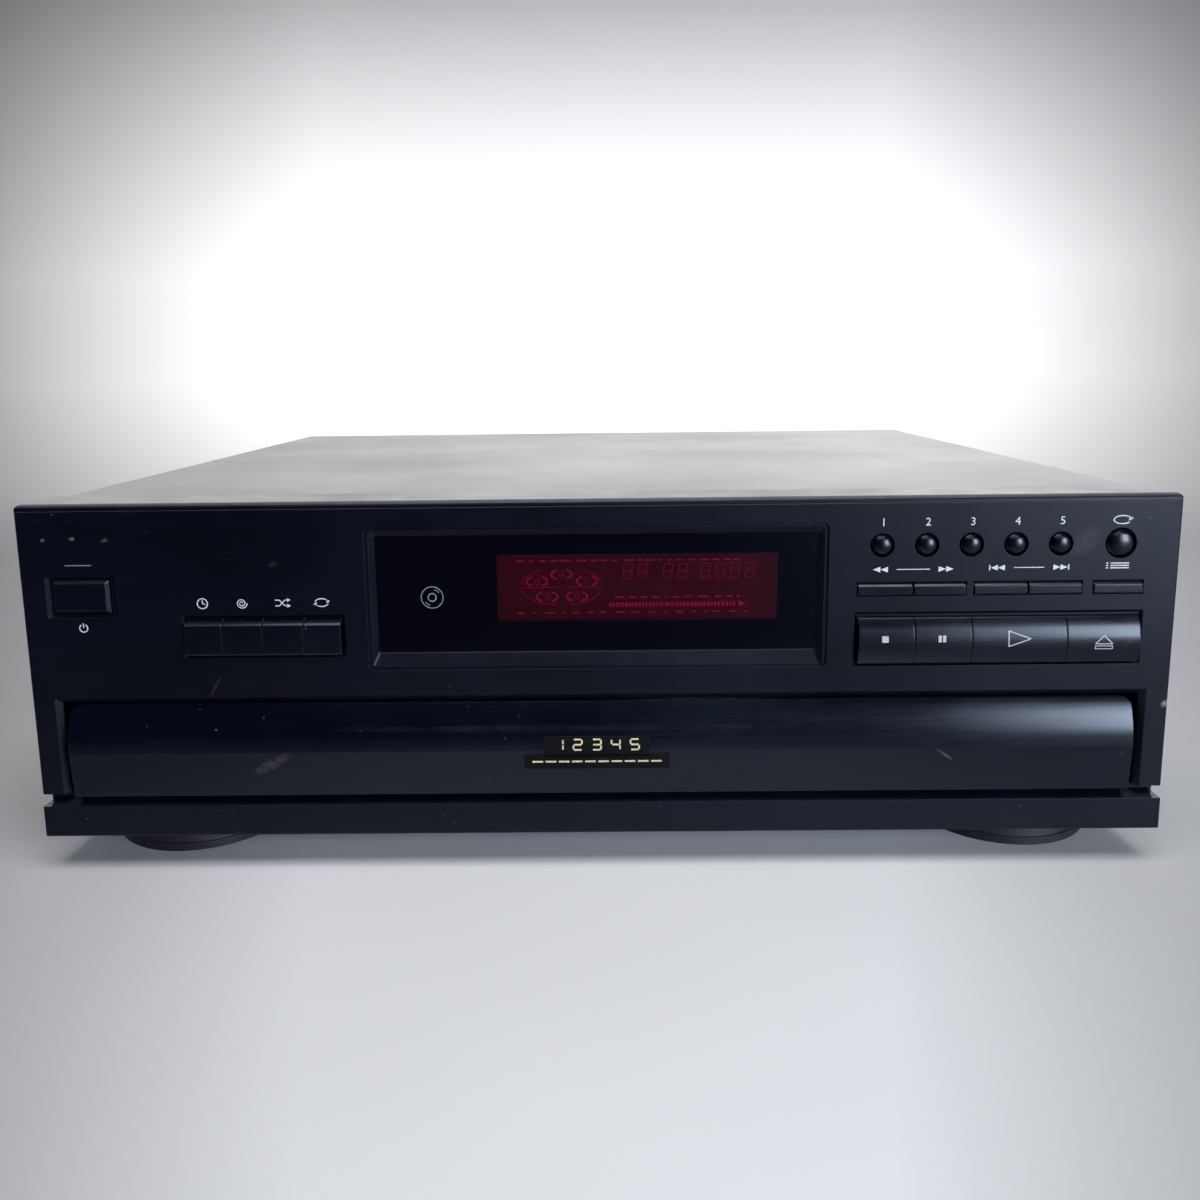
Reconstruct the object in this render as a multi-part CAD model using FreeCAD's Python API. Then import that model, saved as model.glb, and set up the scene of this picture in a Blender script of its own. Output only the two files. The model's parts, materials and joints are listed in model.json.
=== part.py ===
import FreeCAD, Part
import math
import os

V = FreeCAD.Vector
X_AXIS = V(1, 0, 0)
Y_AXIS = V(0, 1, 0)
Z_AXIS = V(0, 0, 1)

# ---- the case (mm; X to the right, Y to the back, Z up from the surface) ----
WIDTH = 430.0
HEIGHT = 144.0
FOOT_HEIGHT = 14.0
FRONT = -188.5            # plane of the front panel
CASE_BACK = 183.5         # back edge of the cover and the rear panel
SHEET = 1.2               # steel sheet of chassis, cover and rear panel
COVER_HALF = 214.2        # outside of the cover
INSIDE_HALF = COVER_HALF - SHEET
COVER_TOP = 143.0
FLOOR_TOP = FOOT_HEIGHT + SHEET

# ---- front panel moulding ----
PANEL_HALF = WIDTH / 2
PANEL_WALL = 3.0
PANEL_BACK = FRONT + PANEL_WALL
RETURN_BACK = FRONT + 24.0        # back edge of the panel's top and side returns
LEDGE_DROP = 2.6                  # bright line below the top edge
LEDGE_STEP = 0.5
TOP_ROUND = 2.3
CORNER_ROUND = 2.2
UPPER_BOTTOM = 31.3               # underside of the upper panel
BAR_TOP = 26.5                    # top edge of the lower bar
BAR_HALF = 214.7
BAR_PROUD = 0.5
NOTCH_DEPTH = 4.0                 # shadow line between bar and upper panel
NOTCH_SIDE = 1.7

# ---- drawer opening and drawer front ----
OPENING_HALF = 204.5
OPENING_TOP = 67.8
OPENING_BOTTOM = 30.6
BEZEL = 2.0
DRAWER_HALF = 201.5
DRAWER_BOTTOM = 31.0
DRAWER_TOP = 66.3
DRAWER_NOSE_Z = 48.6
DRAWER_NOSE = 3.0                 # how far the drawer front stands proud
DRAWER_TOP_BACK = 2.0             # how far its top edge lies behind the panel
DRAWER_WALL = 2.6

# ---- display window ----
WINDOW_HALF = 82.5
WINDOW_BOTTOM = 85.8
WINDOW_TOP = 130.5
WINDOW_FRAME_HALF = 86.0
WINDOW_FRAME_BOTTOM = 79.6
WINDOW_FRAME_TOP = 134.5
WINDOW_DEPTH = 3.2
WINDOW_THICK = 2.0
TUBE_LEFT, TUBE_RIGHT = -41.0, 72.0
TUBE_BOTTOM, TUBE_TOP = 92.0, 128.0
PIN_COUNT = 13
PIN_STEP = 8.4
PIN_INSET = 6.0
PIN_Z = TUBE_BOTTOM + 1.5
PIN_LAST = TUBE_LEFT + PIN_INSET + PIN_STEP * (PIN_COUNT - 1)

# ---- keys ----
KEY_TRAVEL = 1.2
KEY_GAP = 0.25                    # clearance round each key in its hole
FLANGE_GAP = 0.1
FLANGE_THICK = 1.0
FLANGE_RIM = 1.2
STEM_LENGTH = 1.0
SWITCH_GAP = 0.2
POWER_KEY = (-203.5, -181.9, 102.7, 115.4)
POWER_FRAME = (-205.7, -179.6, 101.1, 116.9)
MODE_KEY_EDGES = (-154.5, -140.1, -125.0, -109.7, -95.5)
MODE_FRAME = (-155.5, -94.3, 85.3, 101.5)
MODE_KEY_NAMES = ("mode_key_1", "mode_key_2", "mode_key_3", "mode_key_4")
DISC_KEY_FIRST = 105.6
DISC_KEY_STEP = 16.375
DISC_KEY_Z = 125.65
DISC_KEY_HOLE = 4.5
DISC_KEY_COUNT = 5
SKIP_KEY_X = 193.1
SKIP_KEY_HOLE = 5.76
SLIM_KEY_BOTTOM = 106.7
SLIM_KEY_TOP = 111.6
SLIM_KEYS = {
    "search_back_key": (96.9, 117.3),
    "search_forward_key": (117.7, 137.0),
    "skip_back_key": (140.0, 159.7),
    "skip_forward_key": (160.1, 179.7),
    "program_key": (184.0, 202.2),
}
TRANSPORT_FRAME = (96.0, 203.0, 79.7, 100.5)
TRANSPORT_BOTTOM = 81.0
TRANSPORT_TOP = 98.2
TRANSPORT_BULGE = 2.6
TRANSPORT_KEYS = {
    "stop_key": (97.4, 118.2),
    "pause_key": (118.4, 139.4),
    "play_key": (139.6, 174.5),
    "open_close_key": (174.7, 201.6),
}
SWITCH_FRONT = PANEL_BACK + FLANGE_GAP + FLANGE_THICK + STEM_LENGTH + KEY_TRAVEL + SWITCH_GAP
BOARD_FRONT = SWITCH_FRONT + 4.2
BOARD_THICK = 1.6
TUBE_FRONT = PANEL_BACK + 5.0
DISPLAY_BOARD_FRONT = TUBE_FRONT + 7.5
LEFT_BOARD = (-208.0, -93.0, 78.0, 123.0)
RIGHT_BOARD = (92.0, 209.0, 75.0, 134.0)
DISPLAY_BOARD = (-91.0, 91.0, 81.0, 135.0)
BOSS_INSET = 3.0

# ---- drawer, carousel and discs ----
DRAWER_TRAVEL = 235.0
TRAY_HALF = 197.0
TRAY_WALL = 2.0
TRAY_FLOOR = 36.0
TRAY_FRONT = FRONT + 7.0
TRAY_DECK = 62.0                  # top of the deck round the carousel
TRAY_FLOOR_BACK = 42.0
TRAY_ARM_BACK = 120.0
TRAY_ARM_INNER = 150.0
LIP_BOTTOM, LIP_TOP, LIP_HALF = 38.0, 40.5, 199.6
CAROUSEL_R = 167.0
CAROUSEL_UNDER = 55.0
CAROUSEL_TOP = 61.0
DISC_R = 60.0
DISC_CIRCLE = 104.0               # distance of the disc centres from the carousel's centre
DISC_COUNT = 5
DISC_SEAT = 57.8
SMALL_DISC_SEAT = 56.8
MIDDLE_R = DISC_CIRCLE - DISC_R - 0.6     # round raised middle inside the five discs
HUB_R = 13
GUIDE_TIP = 110.0                         # inner tip of each guide between two discs
GUIDE_SPREAD = 17.0                       # degrees from a guide's middle to its outer corners
SMALL_DISC_R = 40.0
SLOT_HALF = 23.0                  # half width of the slot that clears turntable and pickup
POST_R = 6.0
POST_GAP = 0.06

# ---- gears ----
PRESSURE_ANGLE = 20.0
ADDENDUM = 0.9                    # tooth height outside and inside the pitch circle, in modules
DEDENDUM = 1.15
GEAR_MODULE = 1.5
RING_TEETH = 54
DRIVE_TEETH = 14
REDUCTION_TEETH = 26
MOTOR_TEETH = 10
RACK_MODULE = 1.0
PINION_TEETH = 20
PINION_WHEEL_TEETH = 36
LOADING_TEETH = 12
BACKLASH = 0.32
CAROUSEL_BEARING = 41.0           # underside of the carousel's hub
RING_Z0, RING_Z1 = 43.2, 48.5
WHEEL_TOP = 42.2                  # top of the reduction wheel, below the ring
DRIVE_TOP = 50.0
DRIVE_DISTANCE = (RING_TEETH + DRIVE_TEETH) * GEAR_MODULE / 2
DRIVE_X = DRIVE_DISTANCE * math.sqrt(0.5)
DRIVE_Y = -DRIVE_X
MOTOR_DISTANCE = (REDUCTION_TEETH + MOTOR_TEETH) * GEAR_MODULE / 2
CAROUSEL_MOTOR_X = DRIVE_X + MOTOR_DISTANCE * math.sqrt(0.5)
CAROUSEL_MOTOR_Y = -CAROUSEL_MOTOR_X
RACK_LINE = -171.0
RACK_BOTTOM = 31.0
PINION_X = RACK_LINE + PINION_TEETH * RACK_MODULE / 2
PINION_Y = -150.0
LOADING_X = PINION_X + (PINION_WHEEL_TEETH + LOADING_TEETH) * RACK_MODULE / 2
LOADING_MOTOR_X = LOADING_X + 45.0
PULLEY_Z = 16.6
PULLEY_THICK = 3.0
LOADING_PULLEY_R = 16.0
MOTOR_PULLEY_R = 4.0
BELT_THICK = 1.2

# ---- disc mechanism ----
SPINDLE_Y = DISC_CIRCLE
LIFT = 12.5
LIFT_DECK_Z = 36.0
DECK_HALF = 75.0
DECK_FRONT, DECK_BACK = 47.0, 172.0
CAM_RATIO = 2.0                   # slide of the cam plate per lift of the deck
PICKUP_IN = 24.0                  # lens to spindle at the first track
ROD_Z = LIFT_DECK_Z + 3.8
ROD_R = 1.5
ROD_X = 27.0
RUNNING = 0.06
CLAMP_Z = 66.4

# ---- rear connections and feet ----
JACK_R = 4.15
JACK_LENGTH = 8.0
JACK_X = (150.0, 164.0)
JACK_Z = (62.0,)
INLET_X, INLET_Z = -180.0, 92.0
FOOT_R = 35.0
FOOT_X = 171.3
FOOT_WELL_R = 7.0
SOLE_HEIGHT = 3.0
SCREW_R = 2.0
FOOT_FRONT_Y = FRONT + 50.0
FOOT_BACK_Y = CASE_BACK - 50.0


def box(x0, x1, y0, y1, z0, z1):
    return Part.makeBox(x1 - x0, y1 - y0, z1 - z0, V(x0, y0, z0))


def mirror_x(shape):
    return shape.mirror(V(0, 0, 0), X_AXIS)


def both_sides(shape):
    return [shape, mirror_x(shape)]


def upright(x, y, z0, z1, radius):
    return Part.makeCylinder(radius, z1 - z0, V(x, y, z0), Z_AXIS)


def level(x, z, y0, y1, radius):
    return Part.makeCylinder(radius, y1 - y0, V(x, y0, z), Y_AXIS)


def fuse(shapes):
    if len(shapes) == 1:
        return shapes[0]
    return shapes[0].multiFuse(shapes[1:]).removeSplitter()


def cut(shape, tools):
    return shape.cut(fuse(tools)).removeSplitter()


def group(shapes):
    return Part.makeCompound(shapes)


def outline(points):
    """Closed wire through the points; a point given as a pair is the middle and end of an arc."""
    edges = []
    last = points[0]
    for item in points[1:] + [points[0]]:
        if isinstance(item, tuple):
            edges.append(Part.Arc(last, item[0], item[1]).toShape())
            last = item[1]
        elif last.distanceToPoint(item) > 1e-6:
            edges.append(Part.LineSegment(last, item).toShape())
            last = item
    return Part.Wire(edges)


def extrude(points, direction):
    return Part.Face(outline(points)).extrude(direction)


def plain_rect(x0, x1, z0, z1, y):
    return outline([V(x0, y, z0), V(x1, y, z0), V(x1, y, z1), V(x0, y, z1)])


def rounded_rect(x0, x1, z0, z1, y, radius):
    """Wire of a rectangle with round corners, standing in the plane Y = y."""
    k = radius * (1 - math.sqrt(0.5))
    return outline([
        V(x0 + radius, y, z0),
        V(x1 - radius, y, z0),
        (V(x1 - k, y, z0 + k), V(x1, y, z0 + radius)),
        V(x1, y, z1 - radius),
        (V(x1 - k, y, z1 - k), V(x1 - radius, y, z1)),
        V(x0 + radius, y, z1),
        (V(x0 + k, y, z1 - k), V(x0, y, z1 - radius)),
        V(x0, y, z0 + radius),
        (V(x0 + k, y, z0 + k), V(x0 + radius, y, z0)),
    ])


def rounded_block(x0, x1, y0, y1, z0, z1, radius):
    return Part.Face(rounded_rect(x0, x1, z0, z1, y0, radius)).extrude(V(0, y1 - y0, 0))


def tapered_pocket(outer, inner, y0, y1, radius):
    """Solid between two rectangles given as x0, x1, z0, z1; their corners are round if radius isn't 0."""
    if radius:
        ends = [rounded_rect(*outer, y0, radius), rounded_rect(*inner, y1, radius)]
    else:
        ends = [plain_rect(*outer, y0), plain_rect(*inner, y1)]
    return Part.makeLoft(ends, True, True)


def gear(teeth, module, z0, z1, bore, x=0.0, y=0.0, turn=0.0):
    """Spur gear with straight flanks; turn, in degrees, is where the middle of one tooth points."""
    pitch = teeth * module / 2
    tip = pitch + ADDENDUM * module
    root = pitch - DEDENDUM * module
    lean = math.tan(math.radians(PRESSURE_ANGLE))
    half_tooth = (math.pi * module / 2 - BACKLASH) / 2
    half_tip = (half_tooth - ADDENDUM * module * lean) / tip
    half_root = (half_tooth + 0.75 * DEDENDUM * module * lean) / root

    def at(radius, angle):
        return V(x + radius * math.cos(angle), y + radius * math.sin(angle), z0)

    points = []
    for tooth in range(teeth):
        middle = math.radians(turn) + 2 * math.pi * tooth / teeth
        points += [
            at(root, middle - half_root),
            at(tip, middle - half_tip),
            at(tip, middle + half_tip),
            at(root, middle + half_root),
        ]
    body = extrude(points, V(0, 0, z1 - z0))
    return body.cut(upright(x, y, z0 - 1, z1 + 1, bore))


def save(name, shape):
    shape.exportStep(os.path.join("parts", name + ".step"))


# ---------------------------------------------------------------- case ----

def panel_upper():
    """Upper panel: its cross-section, kept inside round-cornered front and plan outlines."""
    ledge = HEIGHT - LEDGE_DROP
    step = FRONT + LEDGE_STEP
    k = TOP_ROUND * (1 - math.sqrt(0.5))
    section = extrude([
        V(-PANEL_HALF, FRONT, UPPER_BOTTOM),
        V(-PANEL_HALF, FRONT, ledge),
        V(-PANEL_HALF, step, ledge),
        V(-PANEL_HALF, step, HEIGHT - TOP_ROUND),
        (V(-PANEL_HALF, step + k, HEIGHT - k), V(-PANEL_HALF, step + TOP_ROUND, HEIGHT)),
        V(-PANEL_HALF, RETURN_BACK, HEIGHT),
        V(-PANEL_HALF, RETURN_BACK, UPPER_BOTTOM),
    ], V(WIDTH, 0, 0))
    face = rounded_block(-PANEL_HALF, PANEL_HALF, FRONT, RETURN_BACK, 0, HEIGHT, CORNER_ROUND)
    plan = extrude([
        V(-PANEL_HALF, RETURN_BACK, 0),
        V(-PANEL_HALF, FRONT + 1.0, 0),
        (V(-PANEL_HALF + 0.3, FRONT + 0.3, 0), V(-PANEL_HALF + 1.0, FRONT, 0)),
        V(PANEL_HALF - 1.0, FRONT, 0),
        (V(PANEL_HALF - 0.3, FRONT + 0.3, 0), V(PANEL_HALF, FRONT + 1.0, 0)),
        V(PANEL_HALF, RETURN_BACK, 0),
    ], V(0, 0, HEIGHT + 1))
    solid = section.common(face).common(plan)
    inside = box(-INSIDE_HALF, INSIDE_HALF, PANEL_BACK, RETURN_BACK + 1, 0, HEIGHT - 2.2)
    return solid.cut(inside)


def panel_bar():
    """Lower bar with the shadow notch above it, one cross-section along X."""
    front = FRONT - BAR_PROUD
    notch = FRONT + NOTCH_DEPTH
    bar = extrude([
        V(-BAR_HALF, front + 1, FOOT_HEIGHT),
        (V(-BAR_HALF, front + 0.3, FOOT_HEIGHT + 0.3), V(-BAR_HALF, front, FOOT_HEIGHT + 1)),
        V(-BAR_HALF, front, BAR_TOP),
        V(-BAR_HALF, notch, BAR_TOP + 2.6),
        V(-BAR_HALF, notch, OPENING_BOTTOM),
        V(-BAR_HALF, notch + 2, OPENING_BOTTOM),
        V(-BAR_HALF, notch + 2, BAR_TOP),
        V(-BAR_HALF, PANEL_BACK, BAR_TOP - 3),
        V(-BAR_HALF, PANEL_BACK, FOOT_HEIGHT + 2),
        V(-BAR_HALF, notch, FOOT_HEIGHT + 2),
        V(-BAR_HALF, notch, FOOT_HEIGHT),
    ], V(2 * BAR_HALF, 0, 0))
    ends = both_sides(box(BAR_HALF - 3, BAR_HALF + 1, front - 1, notch + 3, BAR_TOP, UPPER_BOTTOM))
    core = both_sides(box(INSIDE_HALF - 4.5, PANEL_HALF - NOTCH_SIDE, notch, notch + 2, BAR_TOP - 4,
                          UPPER_BOTTOM + 3))
    web = both_sides(box(OPENING_HALF, INSIDE_HALF + 0.5, PANEL_BACK - 1, notch + 2, UPPER_BOTTOM,
                         UPPER_BOTTOM + 3))
    side = both_sides(box(INSIDE_HALF, BAR_HALF, front + 2, RETURN_BACK, FOOT_HEIGHT, BAR_TOP))
    side_core = both_sides(box(INSIDE_HALF - 1.7, PANEL_HALF - NOTCH_SIDE, notch, RETURN_BACK,
                               BAR_TOP - 3, UPPER_BOTTOM + 3))
    return fuse([cut(bar, ends)] + core + web + side + side_core)


def rect_hole(x0, x1, z0, z1):
    return box(x0, x1, FRONT - 5, PANEL_BACK + 8, z0, z1)


def round_hole(x, z, radius):
    return level(x, z, FRONT - 5, PANEL_BACK + 8, radius)


def disc_key_places():
    return [DISC_KEY_FIRST + i * DISC_KEY_STEP for i in range(DISC_KEY_COUNT)]


def panel_openings():
    """Everything cut through or into the front face."""
    inner = (-OPENING_HALF, OPENING_HALF, UPPER_BOTTOM - 20, OPENING_TOP)
    outer = (-OPENING_HALF - BEZEL, OPENING_HALF + BEZEL, UPPER_BOTTOM - 20, OPENING_TOP + BEZEL)
    above_notch = box(-PANEL_HALF, PANEL_HALF, FRONT - 1, RETURN_BACK, OPENING_BOTTOM, OPENING_TOP + 10)
    cuts = [
        tapered_pocket(outer, inner, FRONT, FRONT + BEZEL, 0).common(above_notch),
        rect_hole(*inner).common(above_notch),
    ]
    frame = (-WINDOW_FRAME_HALF, WINDOW_FRAME_HALF, WINDOW_FRAME_BOTTOM, WINDOW_FRAME_TOP)
    step = (-WINDOW_FRAME_HALF + 1.4, WINDOW_FRAME_HALF - 1.4, WINDOW_FRAME_BOTTOM + 0.8,
            WINDOW_FRAME_TOP - 1.4)
    glass = (-WINDOW_HALF, WINDOW_HALF, WINDOW_BOTTOM, WINDOW_TOP)
    cuts.append(rounded_block(frame[0], frame[1], FRONT - 1, FRONT + 0.8, frame[2], frame[3], 2.5))
    cuts.append(tapered_pocket(step, glass, FRONT + 0.7, FRONT + WINDOW_DEPTH, 1.5))
    cuts.append(rect_hole(*glass))
    for x0, x1, z0, z1 in (POWER_FRAME, MODE_FRAME, TRANSPORT_FRAME):
        inset = 1.0
        cuts.append(tapered_pocket((x0, x1, z0, z1), (x0 + inset, x1 - inset, z0 + 0.6, z1 - inset),
                                   FRONT - 0.01, FRONT + 1.2, 0))
    cuts.append(rect_hole(POWER_KEY[0] - KEY_GAP, POWER_KEY[1] + KEY_GAP, POWER_KEY[2] - KEY_GAP,
                          POWER_KEY[3] + KEY_GAP))
    cuts.append(rect_hole(MODE_KEY_EDGES[0] - KEY_GAP, MODE_KEY_EDGES[-1] + KEY_GAP, MODE_FRAME[2] + 0.7,
                          MODE_FRAME[3] - 1.0))
    cuts.append(rect_hole(TRANSPORT_FRAME[0] + 1.1, TRANSPORT_FRAME[1] - 1.1, TRANSPORT_BOTTOM - KEY_GAP,
                          TRANSPORT_TOP + KEY_GAP))
    for left, right in (("search_back_key", "search_forward_key"), ("skip_back_key", "skip_forward_key"),
                        ("program_key", "program_key")):
        cuts.append(rect_hole(SLIM_KEYS[left][0] - KEY_GAP, SLIM_KEYS[right][1] + KEY_GAP,
                              SLIM_KEY_BOTTOM - KEY_GAP, SLIM_KEY_TOP + KEY_GAP))
    cuts += [round_hole(x, DISC_KEY_Z, DISC_KEY_HOLE) for x in disc_key_places()]
    cuts.append(round_hole(SKIP_KEY_X, DISC_KEY_Z, SKIP_KEY_HOLE))
    return cuts


def window_surround():
    """Thicker wall behind the display window, with a rebate for the window from behind."""
    block = box(-WINDOW_FRAME_HALF - 1, WINDOW_FRAME_HALF + 1, PANEL_BACK - 0.5, PANEL_BACK + 4,
                WINDOW_FRAME_BOTTOM - 1, WINDOW_FRAME_TOP + 1)
    rebate = box(-WINDOW_HALF - 2, WINDOW_HALF + 2, FRONT + WINDOW_DEPTH, PANEL_BACK + 5,
                 WINDOW_BOTTOM - 2, WINDOW_TOP + 2)
    return block.cut(rebate)


def front_panel():
    shell = fuse([panel_upper(), panel_bar(), window_surround()])
    return cut(shell, panel_openings())


def display_window():
    front = FRONT + WINDOW_DEPTH
    return box(-WINDOW_HALF - 1.9, WINDOW_HALF + 1.9, front, front + WINDOW_THICK,
               WINDOW_BOTTOM - 1.9, WINDOW_TOP + 1.9)


def display_tube():
    """Flat glass display tube with its pumping tip, on the key board's level."""
    front = TUBE_FRONT
    glass = box(TUBE_LEFT, TUBE_RIGHT, front, front + 6.5, TUBE_BOTTOM, TUBE_TOP)
    tip = Part.makeCone(2.2, 0.8, 5, V(TUBE_RIGHT, front + 3.2, TUBE_TOP - 5), X_AXIS)
    pins = []
    for i in range(PIN_COUNT):
        x = TUBE_LEFT + PIN_INSET + PIN_STEP * i
        pins.append(box(x - 0.3, x + 0.3, front + 6.5, DISPLAY_BOARD_FRONT + BOARD_THICK + 1,
                        PIN_Z - 0.3, PIN_Z + 0.3))
    return fuse([glass, tip] + pins)


def bottom_chassis():
    """Folded steel pan with side flanges, foot pads, cooling slots and raised mounting pads."""
    pan = box(-INSIDE_HALF, INSIDE_HALF, FRONT + NOTCH_DEPTH, CASE_BACK, FOOT_HEIGHT, FLOOR_TOP)
    flanges = both_sides(box(INSIDE_HALF - SHEET, INSIDE_HALF, RETURN_BACK + 1, CASE_BACK - SHEET,
                             FOOT_HEIGHT, 32))
    slots = []
    for row in range(3):
        for i in range(5):
            x = -134 + i * 9
            slots.append(box(x, x + 4, 112 + row * 18, 124 + row * 18, FOOT_HEIGHT - 1, FLOOR_TOP + 1))
    for i in range(8):
        slots.append(box(40 + i * 12, 45 + i * 12, -150, -122, FOOT_HEIGHT - 1, FLOOR_TOP + 1))
    screw_holes = [upright(x, y, FOOT_HEIGHT - 1, FLOOR_TOP + 1, 2.1) for x, y in foot_places()]
    return cut(fuse([pan] + flanges), slots + screw_holes)


def rear_panel():
    plate = rounded_block(-INSIDE_HALF, INSIDE_HALF, CASE_BACK - SHEET, CASE_BACK, FLOOR_TOP,
                          COVER_TOP - SHEET, 1.3)
    holes = [level(x, z, CASE_BACK - 5, CASE_BACK + 1, JACK_R + 1.2) for x in JACK_X for z in JACK_Z]
    holes.append(rounded_block(INLET_X - 12, INLET_X + 12, CASE_BACK - 5, CASE_BACK + 1,
                               INLET_Z - 7, INLET_Z + 7, 3))
    for i in range(14):
        x = 30 + i * 6
        holes.append(box(x, x + 2.4, CASE_BACK - 5, CASE_BACK + 1, 104, 126))
    return cut(plate, holes)


def top_cover():
    """Three-sided folded cover with rolled top corners."""
    outer = rounded_block(-COVER_HALF, COVER_HALF, RETURN_BACK, CASE_BACK, 0, COVER_TOP, 2.4)
    inner = rounded_block(-INSIDE_HALF, INSIDE_HALF, RETURN_BACK - 1, CASE_BACK + 1, -10,
                          COVER_TOP - SHEET, 1.2)
    skirt = box(-COVER_HALF - 1, COVER_HALF + 1, RETURN_BACK - 1, CASE_BACK + 1, -1, FOOT_HEIGHT)
    return cut(outer, [inner, skirt])


def foot(x, y):
    """Moulded foot turned in one profile: a tapered body over a wider sole, hollow for its screw."""
    def at(radius, z):
        return V(x + radius, y, z)

    section = Part.Face(outline([
        at(SCREW_R + 0.2, FOOT_HEIGHT),
        at(FOOT_R - 2.5, FOOT_HEIGHT),
        at(FOOT_R - 1.0, SOLE_HEIGHT),
        at(FOOT_R, SOLE_HEIGHT),
        at(FOOT_R, 0),
        at(FOOT_WELL_R, 0),
        at(FOOT_WELL_R, FOOT_HEIGHT - 5),
        at(SCREW_R + 0.2, FOOT_HEIGHT - 5),
    ]))
    return section.revolve(V(x, y, 0), Z_AXIS, 360)


def foot_places():
    return [(x, y) for y in (FOOT_FRONT_Y, FOOT_BACK_Y) for x in (-FOOT_X, FOOT_X)]


def feet():
    return group([foot(x, y) for x, y in foot_places()])


def foot_screws():
    screws = []
    for x, y in foot_places():
        head = upright(x, y, FOOT_HEIGHT - 7.5, FOOT_HEIGHT - 5, 2 * SCREW_R)
        shank = upright(x, y, FOOT_HEIGHT - 5.2, FLOOR_TOP, SCREW_R)
        screws.append(head.fuse(shank))
    return screws


# ---------------------------------------------------------------- keys ----

def switch_at(x, z):
    body = box(x - 3, x + 3, BOARD_FRONT - 3.4, BOARD_FRONT, z - 3, z + 3)
    return body.fuse(box(x - 1.3, x + 1.3, SWITCH_FRONT, BOARD_FRONT - 3.4, z - 1.3, z + 1.3))


def key_backing(x0, x1, z0, z1, rim):
    """Retaining flange behind the panel and the stem that works the switch."""
    y0 = PANEL_BACK + FLANGE_GAP
    y1 = y0 + FLANGE_THICK
    flange = box(x0 - rim, x1 + rim, y0, y1, z0 - FLANGE_RIM, z1 + FLANGE_RIM)
    x, z = (x0 + x1) / 2, (z0 + z1) / 2
    stem = box(x - 1.3, x + 1.3, y1, y1 + STEM_LENGTH, z - 1.3, z + 1.3)
    return flange.fuse(stem)


def profiled_key(x0, x1, points, rim):
    """Key whose cross-section, as y and z pairs, runs along X."""
    section = []
    for item in points:
        if isinstance(item[0], tuple):
            section.append((V(x0, *item[0]), V(x0, *item[1])))
        else:
            section.append(V(x0, *item))
    cap = extrude(section, V(x1 - x0, 0, 0))
    low, high = cap.BoundBox.ZMin, cap.BoundBox.ZMax
    return fuse([cap, key_backing(x0, x1, low, high, rim)])


def power_key():
    x0, x1, z0, z1 = POWER_KEY
    back = PANEL_BACK + FLANGE_GAP
    bevel = tapered_pocket((x0 + 1.3, x1 - 1.3, z0 + 1.3, z1 - 1.3), (x0, x1, z0, z1), FRONT - 0.4,
                           FRONT + 0.8, 0)
    stalk = box(x0, x1, FRONT + 0.8, back, z0, z1)
    return fuse([bevel, stalk, key_backing(x0, x1, z0, z1, FLANGE_RIM)])


def mode_keys():
    z0 = MODE_FRAME[2] + 0.7 + KEY_GAP
    z1 = MODE_FRAME[3] - 1.0 - KEY_GAP
    back = PANEL_BACK + FLANGE_GAP
    face = FRONT - 2.0
    points = [(back, z0), (face + 1.0, z0), ((face + 0.3, z0 + 0.3), (face, z0 + 1.0)), (face, 97.9),
              (face + 0.8, 98.7), (FRONT + 1.4, 99.0), (FRONT + 1.4, z1), (back, z1)]
    keys = {}
    for i, name in enumerate(MODE_KEY_NAMES):
        x0 = MODE_KEY_EDGES[i] + KEY_GAP / 2
        x1 = MODE_KEY_EDGES[i + 1] - KEY_GAP / 2
        keys[name] = profiled_key(x0, x1, points, 0)
    return keys


def round_key(x, hole):
    """Domed round key standing in a sunk skirt, turned about its own axis."""
    base = hole - KEY_GAP
    neck = base * 0.72
    flange = hole + FLANGE_RIM
    back = PANEL_BACK + FLANGE_GAP
    end = back + FLANGE_THICK

    def at(radius, y):
        return V(x + radius, y, DISC_KEY_Z)

    section = Part.Face(outline([
        at(0, end + STEM_LENGTH),
        at(0, FRONT - 1.5),
        (at(neck * 0.55, FRONT - 1.32), at(neck, FRONT - 0.8)),
        at(neck, FRONT + 0.3),
        at(base, FRONT + 1.2),
        at(base, back),
        at(flange, back),
        at(flange, end),
        at(1.4, end),
        at(1.4, end + STEM_LENGTH),
    ]))
    return section.revolve(V(x, 0, DISC_KEY_Z), Y_AXIS, 360)


def slim_keys():
    z0, z1 = SLIM_KEY_BOTTOM, SLIM_KEY_TOP
    back = PANEL_BACK + FLANGE_GAP
    face = FRONT - 0.5
    points = [(back, z0), (face + 0.5, z0), (face, z0 + 0.5), (face, z1 - 1.4), (face + 1.2, z1 - 0.3),
              (face + 1.6, z1), (back, z1)]
    return {name: profiled_key(x0 + KEY_GAP / 2, x1 - KEY_GAP / 2, points, 0)
            for name, (x0, x1) in SLIM_KEYS.items()}


def transport_keys():
    """Barrel-faced keys; each cross-section bulges forward in one large arc."""
    z0, z1 = TRANSPORT_BOTTOM, TRANSPORT_TOP
    back = PANEL_BACK + FLANGE_GAP
    points = [(back, z0), (FRONT - 1.0, z0),
              ((FRONT - TRANSPORT_BULGE, z0 + 7.2), (FRONT + 0.3, z1)), (back, z1)]
    return {name: profiled_key(x0, x1, points, 0) for name, (x0, x1) in TRANSPORT_KEYS.items()}


def all_keys():
    keys = {"power_key": power_key()}
    keys.update(mode_keys())
    for i, x in enumerate(disc_key_places()):
        keys["disc_key_%d" % (i + 1)] = round_key(x, DISC_KEY_HOLE)
    keys["disc_skip_key"] = round_key(SKIP_KEY_X, SKIP_KEY_HOLE)
    keys.update(slim_keys())
    keys.update(transport_keys())
    return keys


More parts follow.
